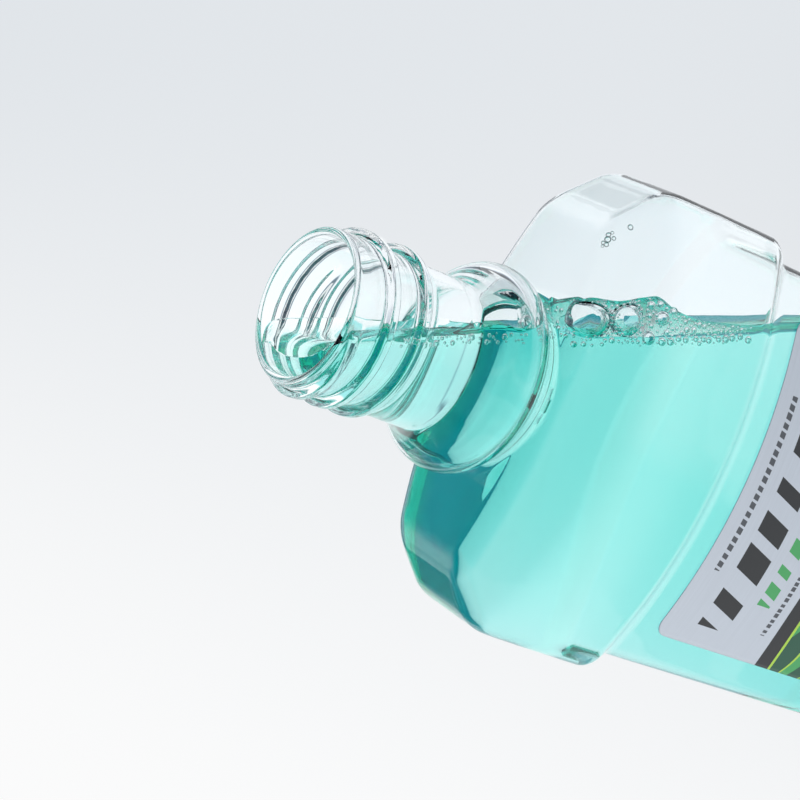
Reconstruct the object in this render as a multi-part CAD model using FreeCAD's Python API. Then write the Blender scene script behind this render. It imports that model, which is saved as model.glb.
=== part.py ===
"""Clear oval bottle of mouthwash, tipped out over its left side, with its dosing cap beside it.

The bottle stands upright on Z = 0 with its mouth up, and its label faces -Y.
The liquid lies as it does while the bottle is being poured over its -X side,
so the surface is steep in this upright frame. Lengths are millimetres, angles degrees.
Every drop is measured down from the lip.
"""
import FreeCAD
import Part
import math
import os

# Whole bottle
bottle_height = 212.0
bottle_wall = 0.75
front_arc_radius = 105.0
corner_radius = 2.6
round_steps = 2
inner_round_steps = 1

# Label panel, the plain middle of the bottle
panel_half_width = 43.0
panel_bulge = 19.1

# Faceted block under the neck
block_half_width = 46.0
block_foot_half_width = 46.7
block_bulge = 21.9
shoulder_bulge = 20.6
ridge_bulge = 17.0
ridge_half_width = 35.3
ridge_drop = 47.2
roof_fall = 1.1
facet_foot_drop = 58.5
block_foot_drop = 92.4
block_foot_radius = 4.4

# Foot band, as wide as the block
foot_band_height = 15.0
foot_edge_radius = 4.0
push_up_depth = 3.6
push_up_inset = 8.0
push_up_side_taper = 8.0
push_up_face_taper = 4.5

# Neck and collar
neck_radius = 14.8
neck_wall = 1.6
lip_edge_radius = 0.75
neck_root_drop = 30.6
collar_radius = 20.6
collar_round = 5.4
collar_centre_drop = 38.5
collar_round_half_angle = 60.0
collar_foot_radius = 15.6
collar_foot_drop = 49.5
collar_wall = 2.4

# Screw thread and the bead ring under it
thread_height = 1.7
thread_foot_width = 3.0
thread_crest_width = 1.2
thread_root_sink = 0.4
thread_pitch = 6.0
thread_turns = 1.5
thread_start_drop = 2.6
thread_start_angle = 254.0
thread_sections_per_turn = 16
thread_run_out_share = 0.1
thread_tip_share = 0.08
thread_tip_foot_share = 0.3
bead_drop = 15.2

# Front label
label_half_width = 34.8
label_top_gap = 7.2
label_foot_gap = 7.2
label_corner_radius = 3.2
label_thickness = 0.15

# Liquid surface while pouring: its upward direction, and its drop on the neck axis
surface_up_x_share = 0.924
surface_up_y_share = 0.210
surface_up_z_share = 0.319
surface_axis_drop = 16.0
liquid_lip_drop = 0.6

# Dosing cap, open side up, on the same table
cap_radius = 20.4
cap_wall = 1.2
cap_top_wall = 1.6
cap_edge_radius = 1.4
cap_lip_gap = 0.6
skirt_wall = 1.0
skirt_depth = 21.0
skirt_clearance = 0.4
cap_thread_turns = 1.0
cap_thread_foot_drop = 12.0
cap_rib_count = 48
cap_rib_height = 0.45
cap_rib_sink = 0.4
cap_rib_valley_rise = 0.05
cap_rib_start_share = 0.3
cap_rib_end_share = 0.7
cap_rib_margin = 4.0
liner_thickness = 1.2
liner_clearance = 0.15
cap_gap = 14.0
cap_place_y = 0.0

# Overrun of every cut
over = 60.0

UP = FreeCAD.Vector(0, 0, 1)
AXIS_FOOT = FreeCAD.Vector(0, 0, 0)


def point(x, y, z):
    return FreeCAD.Vector(x, y, z)


def drop(depth):
    """Height above the table of something this far below the lip."""
    return bottle_height - depth


def oval(half_width, bulge, corner, height):
    """Closed outline of two shallow arcs, two flat sides and four round corners."""
    arc_y = front_arc_radius - bulge
    inner_x = half_width - corner
    corner_y = math.sqrt((front_arc_radius - corner) ** 2 - inner_x ** 2) - arc_y
    reach = front_arc_radius / (front_arc_radius - corner)
    touch_x = inner_x * reach
    touch_y = (corner_y + arc_y) * reach - arc_y
    mid_angle = (math.atan2(touch_y - corner_y, touch_x - inner_x)) / 2
    mid_x = inner_x + corner * math.cos(mid_angle)
    mid_y = corner_y + corner * math.sin(mid_angle)
    edges = []
    for turn in (1, -1):
        side = [point(turn * half_width, -turn * corner_y, height),
                point(turn * half_width, turn * corner_y, height)]
        bend = [side[1], point(turn * mid_x, turn * mid_y, height),
                point(turn * touch_x, turn * touch_y, height)]
        face = [bend[2], point(0, turn * bulge, height),
                point(-turn * touch_x, turn * touch_y, height)]
        close = [face[2], point(-turn * mid_x, turn * mid_y, height),
                 point(-turn * half_width, turn * corner_y, height)]
        edges.append(Part.LineSegment(side[0], side[1]).toShape())
        edges.append(Part.Arc(*bend).toShape())
        edges.append(Part.Arc(*face).toShape())
        edges.append(Part.Arc(*close).toShape())
    return Part.Wire(edges)


def column(sections):
    """Solid with straight sides through ovals given as (half width, bulge, corner, height)."""
    return Part.makeLoft([oval(*values) for values in sections], True, True)


def prism_y(outline):
    """Solid with this outline in X and Z, wide enough in Y to cut the whole bottle."""
    corners = [point(x, -over, z) for x, z in outline]
    face = Part.Face(Part.makePolygon(corners + corners[:1]))
    return face.extrude(point(0, 2 * over, 0))


def roof(inset):
    """What lies above the shoulder: two gently falling roofs and two steep side facets."""
    peak = drop(ridge_drop) + roof_fall - inset
    ridge = drop(ridge_drop) - inset
    run = block_half_width - ridge_half_width
    fall = facet_foot_drop - ridge_drop
    slant = math.hypot(run, fall)
    shift = inset * (slant - run) / fall
    facet_x = ridge_half_width - shift
    foot_x = facet_x + run + over
    foot_z = ridge - fall * (run + over) / run
    return prism_y([(0, peak), (facet_x, ridge), (foot_x, foot_z), (foot_x, drop(-over)),
                    (-foot_x, drop(-over)), (-foot_x, foot_z), (-facet_x, ridge)])


def steps_of(inset):
    """Straight steps that make a round: fewer on the inner side of a wall."""
    return inner_round_steps if inset > 0 else round_steps


def rounded_end(half_width, bulge, corner, flat_height, radius, outward, steps):
    """Quarter-round end of a column. It leaves the flat height upwards (1) or downwards (-1)."""
    sections = []
    for step in range(steps + 1):
        turn = math.pi / 2 * step / steps
        drawn_in = radius * (1 - math.cos(turn))
        height = flat_height + outward * radius * math.sin(turn)
        sections.append((half_width - drawn_in, bulge - drawn_in, corner, height))
    return column(sections)


def block(inset):
    """Faceted block: a crowned front and back under a roof with four sloping corners."""
    half_width = block_half_width - inset
    foot_half_width = block_foot_half_width - inset
    bulge = block_bulge - inset
    corner = corner_radius - inset
    flat_foot = drop(block_foot_drop) + block_foot_radius
    solid = column([
        (half_width, 2 * ridge_bulge - shoulder_bulge - inset, corner,
         drop(2 * ridge_drop - facet_foot_drop)),
        (half_width, shoulder_bulge - inset, corner, drop(facet_foot_drop)),
        (foot_half_width, bulge, corner, flat_foot),
    ])
    foot = rounded_end(foot_half_width, bulge, corner, flat_foot, block_foot_radius - inset, -1,
                       steps_of(inset))
    return solid.fuse(foot).cut(roof(inset))


def panel(inset):
    """Plain middle of the bottle, between the block and the foot band."""
    corner = corner_radius - inset
    half_width = panel_half_width - inset
    bulge = panel_bulge - inset
    return column([(half_width, bulge, corner, foot_band_height / 2),
                   (half_width, bulge, corner, drop(facet_foot_drop))])


def foot_band(inset):
    """Foot band with round edges above and below."""
    corner = corner_radius - inset
    half_width = block_half_width - inset
    bulge = block_bulge - inset
    radius = foot_edge_radius - inset
    low, high = foot_edge_radius, foot_band_height - foot_edge_radius
    middle = column([(half_width, bulge, corner, low), (half_width, bulge, corner, high)])
    steps = steps_of(inset)
    return middle.fuse([rounded_end(half_width, bulge, corner, low, radius, -1, steps),
                        rounded_end(half_width, bulge, corner, high, radius, 1, steps)])


def push_up(inset):
    """Hollow in the base, so that the bottle stands on a ring."""
    half_width = block_half_width - push_up_inset + inset
    bulge = block_bulge - push_up_inset + inset
    return column([
        (half_width, bulge, corner_radius, -over),
        (half_width, bulge, corner_radius, 0),
        (half_width - push_up_side_taper, bulge - push_up_face_taper, corner_radius,
         push_up_depth + inset),
    ])


def revolved(profile):
    """Solid of revolution round the neck axis. The profile lists edges in X and Z."""
    return Part.Face(Part.Wire(profile)).revolve(AXIS_FOOT, UP, 360)


def lines(*corners):
    """Straight edges from corner to corner, each corner given in X and Z."""
    points = [point(x, 0, z) for x, z in corners]
    return [Part.LineSegment(*ends).toShape() for ends in zip(points, points[1:])]


def bend(start, middle, end, steps):
    """Points of a round in equal straight steps, from its start to its end."""
    curve = Part.Arc(*[point(x, 0, z) for x, z in (start, middle, end)])
    return [(place.x, place.z) for place in curve.discretize(steps + 1)]


def neck(inset):
    """Neck and collar: a straight neck, a hollow root and a round collar above the roof.

    With no inset it is the outside. With one it is the bore, which runs out at the mouth.
    """
    side = neck_radius - (neck_wall if inset else 0)
    round_radius = collar_round - inset
    centre_x = collar_radius - collar_round
    centre_z = drop(collar_centre_drop)
    angle = math.radians(collar_round_half_angle)
    high = (centre_x + round_radius * math.cos(angle), centre_z + round_radius * math.sin(angle))
    low = (high[0], 2 * centre_z - high[1])
    root_x = high[0] - side
    root = (root_x ** 2 + (drop(neck_root_drop) - high[1]) ** 2) / (2 * root_x)
    root_z = drop(neck_root_drop)
    half_turn = math.atan2(root_z - high[1], root - root_x) / 2
    hollow = (side + root - root * math.cos(half_turn), root_z - root * math.sin(half_turn))
    foot = (collar_foot_radius - inset, drop(collar_foot_drop) - inset)
    if inset:
        top = [(0, drop(-over)), (side, drop(-over))]
    else:
        edge = lip_edge_radius
        turn = edge * (1 - math.sqrt(0.5))
        top = [(0, drop(0))] + bend((side - edge, drop(0)), (side - turn, drop(turn)),
                                    (side, drop(edge)), round_steps)
    root_bend = bend((side, root_z), hollow, high, steps_of(inset))
    collar_bend = bend(high, (centre_x + round_radius, centre_z), low, 1 + steps_of(inset))
    return revolved(lines(*top, *root_bend, *collar_bend[1:], foot, (0, foot[1]), top[0]))


def ridge_section(radius, height, angle, share, outward):
    """Trapezoid of a thread in the plane through the axis at this angle."""
    sink = -outward * thread_root_sink
    rise = outward * thread_height * share
    half_foot = thread_foot_width / 2 * (thread_tip_foot_share
                                         + (1 - thread_tip_foot_share) * share)
    half_crest = thread_crest_width / 2 * share
    across = [(sink, -half_foot), (rise, -half_crest), (rise, half_crest), (sink, half_foot)]
    turn = math.radians(angle)
    corners = [point((radius + out) * math.cos(turn), (radius + out) * math.sin(turn), height + up)
               for out, up in across]
    return Part.makePolygon(corners + corners[:1])


def thread(radius, top_height, start_angle, turns, outward):
    """Right-hand thread that falls from its start and runs out at both ends."""
    count = int(thread_sections_per_turn * turns)
    sections = []
    for step in range(count + 1):
        done = step / count
        to_end = min(done, 1 - done)
        share = min(1, thread_tip_share + to_end / thread_run_out_share)
        angle = start_angle - 360 * turns * done
        height = top_height - thread_pitch * turns * done
        sections.append(ridge_section(radius, height, angle, share, outward))
    return Part.makeLoft(sections, True, False)


def bead_ring():
    """Full ring on the neck under the thread, of the thread's own section."""
    middle = drop(bead_drop)
    foot, crest = thread_foot_width / 2, thread_crest_width / 2
    inside, outside = neck_radius - thread_root_sink, neck_radius + thread_height
    corners = [(inside, middle - foot), (outside, middle - crest),
               (outside, middle + crest), (inside, middle + foot)]
    return revolved(lines(*corners, corners[0]))


def bottle_cavity():
    """Space inside the bottle, open at the mouth."""
    inside = panel(bottle_wall).fuse([block(bottle_wall), foot_band(bottle_wall),
                                      neck(collar_wall)])
    return inside.cut(push_up(bottle_wall))


def bottle():
    """Blow-moulded bottle with its thread and bead ring."""
    outside = panel(0).fuse([block(0), foot_band(0), neck(0)])
    outside = outside.fuse([
        thread(neck_radius, drop(thread_start_drop), thread_start_angle, thread_turns, 1),
        bead_ring()])
    return outside.cut(push_up(0)).cut(bottle_cavity())


def front_label():
    """Thin film that lies on the front of the panel, with round corners."""
    top = drop(block_foot_drop + label_top_gap)
    foot = foot_band_height + label_foot_gap
    window = Part.makeBox(2 * label_half_width, over, top - foot,
                          point(-label_half_width, -over, foot))
    corners = [edge for edge in window.Edges
               if edge.BoundBox.XMax - edge.BoundBox.XMin < label_thickness
               and edge.BoundBox.ZMax - edge.BoundBox.ZMin < label_thickness]
    window = window.makeFillet(label_corner_radius, corners)
    return panel(-label_thickness).cut(panel(0)).common(window)


def mouthwash():
    """Liquid in the cavity below the surface that it has while it is poured."""
    up = point(surface_up_x_share, surface_up_y_share, surface_up_z_share)
    sky = Part.makeBox(2 * bottle_height, 2 * bottle_height, bottle_height,
                       point(-bottle_height, -bottle_height, 0))
    sky.Placement = FreeCAD.Placement(point(0, 0, drop(surface_axis_drop)),
                                      FreeCAD.Rotation(UP, up))
    air = Part.makeBox(2 * over, 2 * over, 2 * over, point(-over, -over, drop(liquid_lip_drop)))
    return bottle_cavity().cut(sky).cut(air)


def cap_height():
    """From the closed top to the rim that meets the collar when the cap is on."""
    return cap_top_wall + liner_thickness + neck_root_drop - cap_lip_gap


def cap_axis():
    return point(block_half_width + cap_gap + cap_radius, cap_place_y, 0)


def rib_band(low, high):
    """Ring of upright grip ribs on the outside of the cap, between these heights."""
    outline = []
    for tooth in range(cap_rib_count):
        for part_share, reach in ((0, 0), (cap_rib_start_share, cap_rib_height),
                                  (cap_rib_end_share, cap_rib_height)):
            turn = 2 * math.pi * (tooth + part_share) / cap_rib_count
            radius = cap_radius + cap_rib_valley_rise + reach
            outline.append(point(radius * math.cos(turn), radius * math.sin(turn), low))
    band = Part.Face(Part.makePolygon(outline + outline[:1])).extrude(point(0, 0, high - low))
    return band.cut(Part.makeCylinder(cap_radius - 2 * cap_rib_sink, high))


def cap():
    """Cup with grip ribs, an inner threaded skirt and its closed top on the table."""
    top, edge = cap_height(), cap_edge_radius
    turn = edge * (1 - math.sqrt(0.5))
    bore = neck_radius + thread_height + skirt_clearance
    skirt_top = cap_top_wall + skirt_depth
    low, high = cap_rib_margin, top - cap_rib_margin
    rib_root = cap_radius - cap_rib_sink
    foot_bend = bend((cap_radius - edge, 0), (cap_radius - turn, turn), (cap_radius, edge),
                     round_steps)
    outside = [(0, 0), *foot_bend, (cap_radius, low), (rib_root, low), (rib_root, high),
               (cap_radius, high), (cap_radius, top)]
    inside = [(cap_radius - cap_wall, top), (cap_radius - cap_wall, cap_top_wall),
              (bore + skirt_wall, cap_top_wall), (bore + skirt_wall, skirt_top),
              (bore, skirt_top), (bore, cap_top_wall), (0, cap_top_wall)]
    shell = revolved(lines(*outside, *inside, outside[0]))
    thread_top = cap_top_wall + liner_thickness + cap_thread_foot_drop
    solid = shell.fuse([rib_band(low, high), thread(bore, thread_top, 0, cap_thread_turns, -1)])
    solid.translate(cap_axis())
    return solid


def cap_liner():
    """Soft sealing disc in the bottom of the cap, inside the skirt."""
    radius = neck_radius + thread_height + skirt_clearance - liner_clearance
    return Part.makeCylinder(radius, liner_thickness, cap_axis() + point(0, 0, cap_top_wall))


os.makedirs("parts", exist_ok=True)
NODES = {
    "bottle": bottle,
    "front_label": front_label,
    "mouthwash": mouthwash,
    "cap": cap,
    "cap_liner": cap_liner,
}
for name, make in NODES.items():
    shape = make()
    solids = shape.Solids
    shape = solids[0] if len(solids) == 1 else shape
    print(name, "solids", len(solids), "valid", shape.isValid(), "volume", round(shape.Volume))
    shape.exportStep("parts/" + name + ".step")
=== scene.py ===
"""Looks of a clear oval mouthwash bottle, half way through a pour, with its dosing cap beside it.

The bottle stands upright with its label towards -Y. Its liquid lies as it does while the bottle is
tipped over its left side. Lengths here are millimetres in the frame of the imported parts, and every
drop is measured down from the lip. They become metres where a mesh is made.
"""

import logging
import math
from dataclasses import dataclass
from enum import Enum
from functools import partial
from typing import Any, Callable

import bpy
import numpy as np
from mathutils import Matrix


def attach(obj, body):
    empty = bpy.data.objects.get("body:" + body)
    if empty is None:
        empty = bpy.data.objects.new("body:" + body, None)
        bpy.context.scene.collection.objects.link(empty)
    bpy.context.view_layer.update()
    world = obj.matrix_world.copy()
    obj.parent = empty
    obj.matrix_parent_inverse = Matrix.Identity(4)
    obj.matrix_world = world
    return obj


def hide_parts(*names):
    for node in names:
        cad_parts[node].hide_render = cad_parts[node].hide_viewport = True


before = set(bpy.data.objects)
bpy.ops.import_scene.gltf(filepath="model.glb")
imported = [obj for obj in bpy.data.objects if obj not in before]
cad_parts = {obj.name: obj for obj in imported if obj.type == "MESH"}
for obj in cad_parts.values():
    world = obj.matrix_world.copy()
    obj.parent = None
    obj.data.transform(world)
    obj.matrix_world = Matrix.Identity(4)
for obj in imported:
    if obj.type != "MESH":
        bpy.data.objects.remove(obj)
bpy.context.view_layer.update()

LOG = logging.getLogger("bottle")
MM = 0.001
FIELD_STEP = 0.01
LEAST_SLOPE = 0.05
LEAST_MOVE = 1e-9
CONTACT_ANGLE = 35.0

MATH = "ShaderNodeMath"
MIX = "ShaderNodeMix"
RANGE = "ShaderNodeMapRange"
COLOURS = {"data_type": "RGBA"}
SMOOTH = {"interpolation_type": "SMOOTHSTEP"}

# A field gives the distance of rows of points from a surface. Nodes adds nodes to one tree.
Field = Callable[[np.ndarray], np.ndarray]
Nodes = Callable[..., Any]


class Body(Enum):
    """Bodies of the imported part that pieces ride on."""

    BOTTLE = "bottle_body"
    CAP = "cap_body"


class Slot(Enum):
    """Material slots of the record."""

    PET = "clear_pet"
    LABEL = "label_film"
    LIQUID = "liquid"
    CAP = "cap_plastic"
    LINER = "liner_foam"


class Side(Enum):
    """Which side of the wall a surface is on."""

    OUTSIDE = 0
    INSIDE = 1


class Join(Enum):
    """What a boolean makes of two meshes."""

    CUT = "DIFFERENCE"
    COMMON = "INTERSECT"
    ADD = "UNION"


def points_at(x: Any, y: Any, z: Any) -> np.ndarray:
    """Rows of X, Y and Z, in which one number stands for a whole column."""
    return np.stack(np.broadcast_arrays(x, y, z), axis=-1)


def rounded_max(a: np.ndarray, b: np.ndarray, radius: float) -> np.ndarray:
    """Meet of two distance fields with a round edge between them.

    Args:
        a: first field, negative inside.
        b: second field, negative inside.
        radius: radius of the edge.

    Returns:
        The field of what lies inside both.
    """
    corner = np.hypot(np.maximum(a + radius, 0), np.maximum(b + radius, 0))
    return np.minimum(np.maximum(a, b), -radius) + corner


def rounded_min(a: np.ndarray, b: np.ndarray, radius: float) -> np.ndarray:
    """Union of two distance fields with a hollow fillet of this radius between them."""
    return -rounded_max(-a, -b, radius)


def gradient(points: np.ndarray, field: Field) -> np.ndarray:
    """Gradient of a field by central differences.

    Args:
        points: rows of X, Y and Z.
        field: the field.

    Returns:
        One gradient a row.
    """
    result = np.empty_like(points)
    for axis in range(3):
        step = np.zeros(3)
        step[axis] = FIELD_STEP
        result[:, axis] = (field(points + step) - field(points - step)) / (2 * FIELD_STEP)
    return result


def settle(points: np.ndarray, field: Field, rounds: int = 6, reach: float = 1.5) -> np.ndarray:
    """Moves points onto the zero level of a field, along its gradient.

    Args:
        points: rows of X, Y and Z near the surface.
        field: the field.
        rounds: number of steps.
        reach: furthest move of one step.

    Returns:
        The settled points.
    """
    for _ in range(rounds):
        slope = gradient(points, field)
        size = np.maximum(np.sum(slope ** 2, axis=1, keepdims=True), LEAST_SLOPE)
        move = field(points)[:, None] * slope / size
        length = np.maximum(np.linalg.norm(move, axis=1, keepdims=True), LEAST_MOVE)
        points = points - move * np.minimum(1, reach / length)
    return points


def smooth_through(at: np.ndarray, places: np.ndarray, values: np.ndarray) -> np.ndarray:
    """Smooth curve through a few values, flat-sloped beyond its ends.

    Args:
        at: where it is read.
        places: rising places of the values.
        values: the values.

    Returns:
        The curve's value at each place read.
    """
    slopes = np.gradient(values, places)
    index = np.clip(np.searchsorted(places, at) - 1, 0, len(places) - 2)
    width = places[index + 1] - places[index]
    t = np.clip((at - places[index]) / width, 0, 1)
    low, high = values[index], values[index + 1]
    bend_low, bend_high = slopes[index] * width, slopes[index + 1] * width
    return (low * (1 + 2 * t) * (1 - t) ** 2 + bend_low * t * (1 - t) ** 2
            + high * t ** 2 * (3 - 2 * t) + bend_high * t ** 2 * (t - 1))


def linear(colour: str) -> tuple[float, float, float, float]:
    """Linear colour of an sRGB hex value.

    Args:
        colour: six hex digits after a hash.

    Returns:
        Red, green, blue and an alpha of one.
    """
    parts = [int(colour[i:i + 2], 16) / 255 for i in (1, 3, 5)]
    red, green, blue = [p / 12.92 if p <= 0.04045 else ((p + 0.055) / 1.055) ** 2.4 for p in parts]
    return red, green, blue, 1.0


def add_node(tree: bpy.types.NodeTree, kind: str, *values: Any, **settings: Any) -> Any:
    """Adds a node with its settings, socket values and links.

    Args:
        tree: node tree that takes it.
        kind: node type.
        values: value or output socket for each input in use, in order, or else one dictionary of
            them by name.
        settings: the node's own properties.

    Returns:
        Its first output in use, if it has one. The others are had from that output's node.
    """
    node = tree.nodes.new(kind)
    for name, value in settings.items():
        setattr(node, name, value)
    used = [socket for socket in node.inputs if socket.enabled]
    by_name = values and isinstance(values[0], dict)
    for socket, value in ([(node.inputs[name], value) for name, value in values[0].items()]
                          if by_name else zip(used, values)):
        if isinstance(value, bpy.types.NodeSocket):
            tree.links.new(value, socket)
        else:
            socket.default_value = value
    return next((socket for socket in node.outputs if socket.enabled), None)


def new_group(name: str, inputs: dict[str, str]) -> tuple[bpy.types.NodeTree, Nodes, Any]:
    """Empty geometry node group with one output of geometry.

    Args:
        name: its name.
        inputs: kind of each named input.

    Returns:
        The group, what adds a node to it, and its inputs as sockets.
    """
    group = bpy.data.node_groups.new(name, "GeometryNodeTree")
    for label, kind in inputs.items():
        group.interface.new_socket(label, in_out="INPUT", socket_type="NodeSocket" + kind)
    group.interface.new_socket("Made", in_out="OUTPUT", socket_type="NodeSocketGeometry")
    node = partial(add_node, group)
    return group, node, node("NodeGroupInput").node.outputs


def mesh_piece(name: str, points: np.ndarray, faces: list[tuple[int, ...]],
               smooth: bool = True) -> bpy.types.Object:
    """New mesh object at the origin.

    Args:
        name: piece name.
        points: vertices in millimetres.
        faces: vertex numbers of each face.
        smooth: whether its faces are shaded smooth.

    Returns:
        The object.
    """
    mesh = bpy.data.meshes.new(name)
    mesh.from_pydata((points * MM).tolist(), [], faces)
    mesh.polygons.foreach_set("use_smooth", [smooth] * len(mesh.polygons))
    mesh.validate()
    mesh.update()
    piece = bpy.data.objects.new(name, mesh)
    bpy.context.scene.collection.objects.link(piece)
    return piece


def grid_faces(rows: int, columns: int, wrap: bool, start: int = 0) -> list[tuple[int, ...]]:
    """Faces of a grid of points laid row by row.

    Args:
        rows: number of rows.
        columns: number of points in a row.
        wrap: whether the last column joins the first.
        start: number of the first point.

    Returns:
        Quads, turned so that they face left of a row when the rows go up.
    """
    faces = []
    last = columns if wrap else columns - 1
    for row in range(rows - 1):
        base = start + row * columns
        for column in range(last):
            after = (column + 1) % columns
            faces.append((base + column, base + after,
                          base + columns + after, base + columns + column))
    return faces


def turned_grid(name: str, rows: list[np.ndarray]) -> bpy.types.Object:
    """Closed surface through rings of equal count, with a pole at each end.

    Args:
        name: piece name.
        rows: rings from the first pole's side to the last pole's side.

    Returns:
        The object.
    """
    count = len(rows[0])
    poles = [rows[0].mean(axis=0), rows[-1].mean(axis=0)]
    points = np.vstack([*rows, poles])
    first, last = len(points) - 2, len(points) - 1
    faces = grid_faces(len(rows), count, True)
    top = (len(rows) - 1) * count
    for column in range(count):
        after = (column + 1) % count
        faces.append((after, column, first))
        faces.append((top + column, top + after, last))
    return mesh_piece(name, points, faces)


def slab(name: str, near: np.ndarray, far: np.ndarray) -> bpy.types.Object:
    """Closed sheet between two grids of points.

    Args:
        name: piece name.
        near: rows and columns of points of the side whose faces look away from the other.
        far: the other side, point for point.

    Returns:
        The object.
    """
    rows, columns = near.shape[:2]
    count = rows * columns
    faces = grid_faces(rows, columns, False)
    faces += [tuple(reversed(face)) for face in grid_faces(rows, columns, False, count)]
    loop = [*range(columns), *[row * columns + columns - 1 for row in range(1, rows)],
            *range(count - 2, count - columns - 1, -1),
            *[row * columns for row in range(rows - 2, 0, -1)]]
    for here, after in zip(loop, loop[1:] + loop[:1]):
        faces.append((after, here, count + here, count + after))
    return mesh_piece(name, np.vstack([near.reshape(-1, 3), far.reshape(-1, 3)]), faces)


def rounded_profile(corners: list[tuple[float, float, float]], steps: int = 4) -> np.ndarray:
    """Outline through corners with round turns, and close points that keep its flats flat.

    Args:
        corners: radius from the axis, height and round of each corner.
        steps: number of steps in a turn.

    Returns:
        Rows of radius and height.
    """
    points = []
    for index, (radius, height, turn) in enumerate(corners):
        here = np.array([radius, height])
        if not turn:
            points.append(here)
            continue
        before = np.array(corners[index - 1][:2]) - here
        after = np.array(corners[index + 1][:2]) - here
        before, after = before / np.linalg.norm(before), after / np.linalg.norm(after)
        for share in (-0.1, *[step / steps for step in range(steps + 1)], 1.1):
            near = min(max(share, 0), 1)
            place = here + turn * ((1 - near) ** 2 * before + near ** 2 * after)
            over = turn * (share - near)
            points.append(place - over * before * (share < 0) + over * after * (share > 1))
    return np.array(points)


def revolve(name: str, profile: np.ndarray, columns: int, axis_x: float) -> bpy.types.Object:
    """Closed piece turned round an upright axis.

    Args:
        name: piece name.
        profile: rows of radius and height, from one point of the axis round to another.
        columns: number of points in a ring.
        axis_x: place of the axis along X.

    Returns:
        The object.
    """
    angles = np.arange(columns) * 2 * math.pi / columns
    rings = [points_at(axis_x + radius * np.cos(angles), radius * np.sin(angles), height)
             for radius, height in profile if radius > 0]
    return turned_grid(name, rings)


def keep_evaluated(piece: bpy.types.Object, modifier: bpy.types.Modifier) -> None:
    """Gives a piece the mesh that its modifier makes, and removes the modifier.

    Args:
        piece: the piece.
        modifier: its only modifier.
    """
    evaluated = piece.evaluated_get(bpy.context.evaluated_depsgraph_get())
    mesh = bpy.data.meshes.new_from_object(evaluated)
    piece.modifiers.remove(modifier)
    piece.data = mesh


def run_group(piece: bpy.types.Object, group: bpy.types.NodeTree, values: dict[str, Any]) -> None:
    """Runs a geometry node group once on a piece.

    Args:
        piece: the piece, whose mesh goes in.
        group: the group.
        values: value of each named input.
    """
    modifier = piece.modifiers.new(group.name, "NODES")
    modifier.node_group = group
    for item in group.interface.items_tree:
        if item.name in values:
            modifier[item.identifier] = values[item.name]
    keep_evaluated(piece, modifier)


def finish_piece(piece: bpy.types.Object, material: bpy.types.Material, body: Body, slot: Slot,
                 *nodes: str) -> bpy.types.Object:
    """Gives a piece its material and body, and hides the CAD nodes that it replaces.

    Args:
        piece: the finished piece.
        material: its material.
        body: body that it rides on.
        slot: material slot of the record; not used.
        nodes: CAD nodes that it replaces.

    Returns:
        The piece.
    """
    piece.data.materials.clear()
    piece.data.materials.append(material)
    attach(piece, body.value)
    if nodes:
        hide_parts(*nodes)
    LOG.info("%s: %d faces, on %s", piece.name, len(piece.data.polygons), body.value)
    return piece


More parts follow.
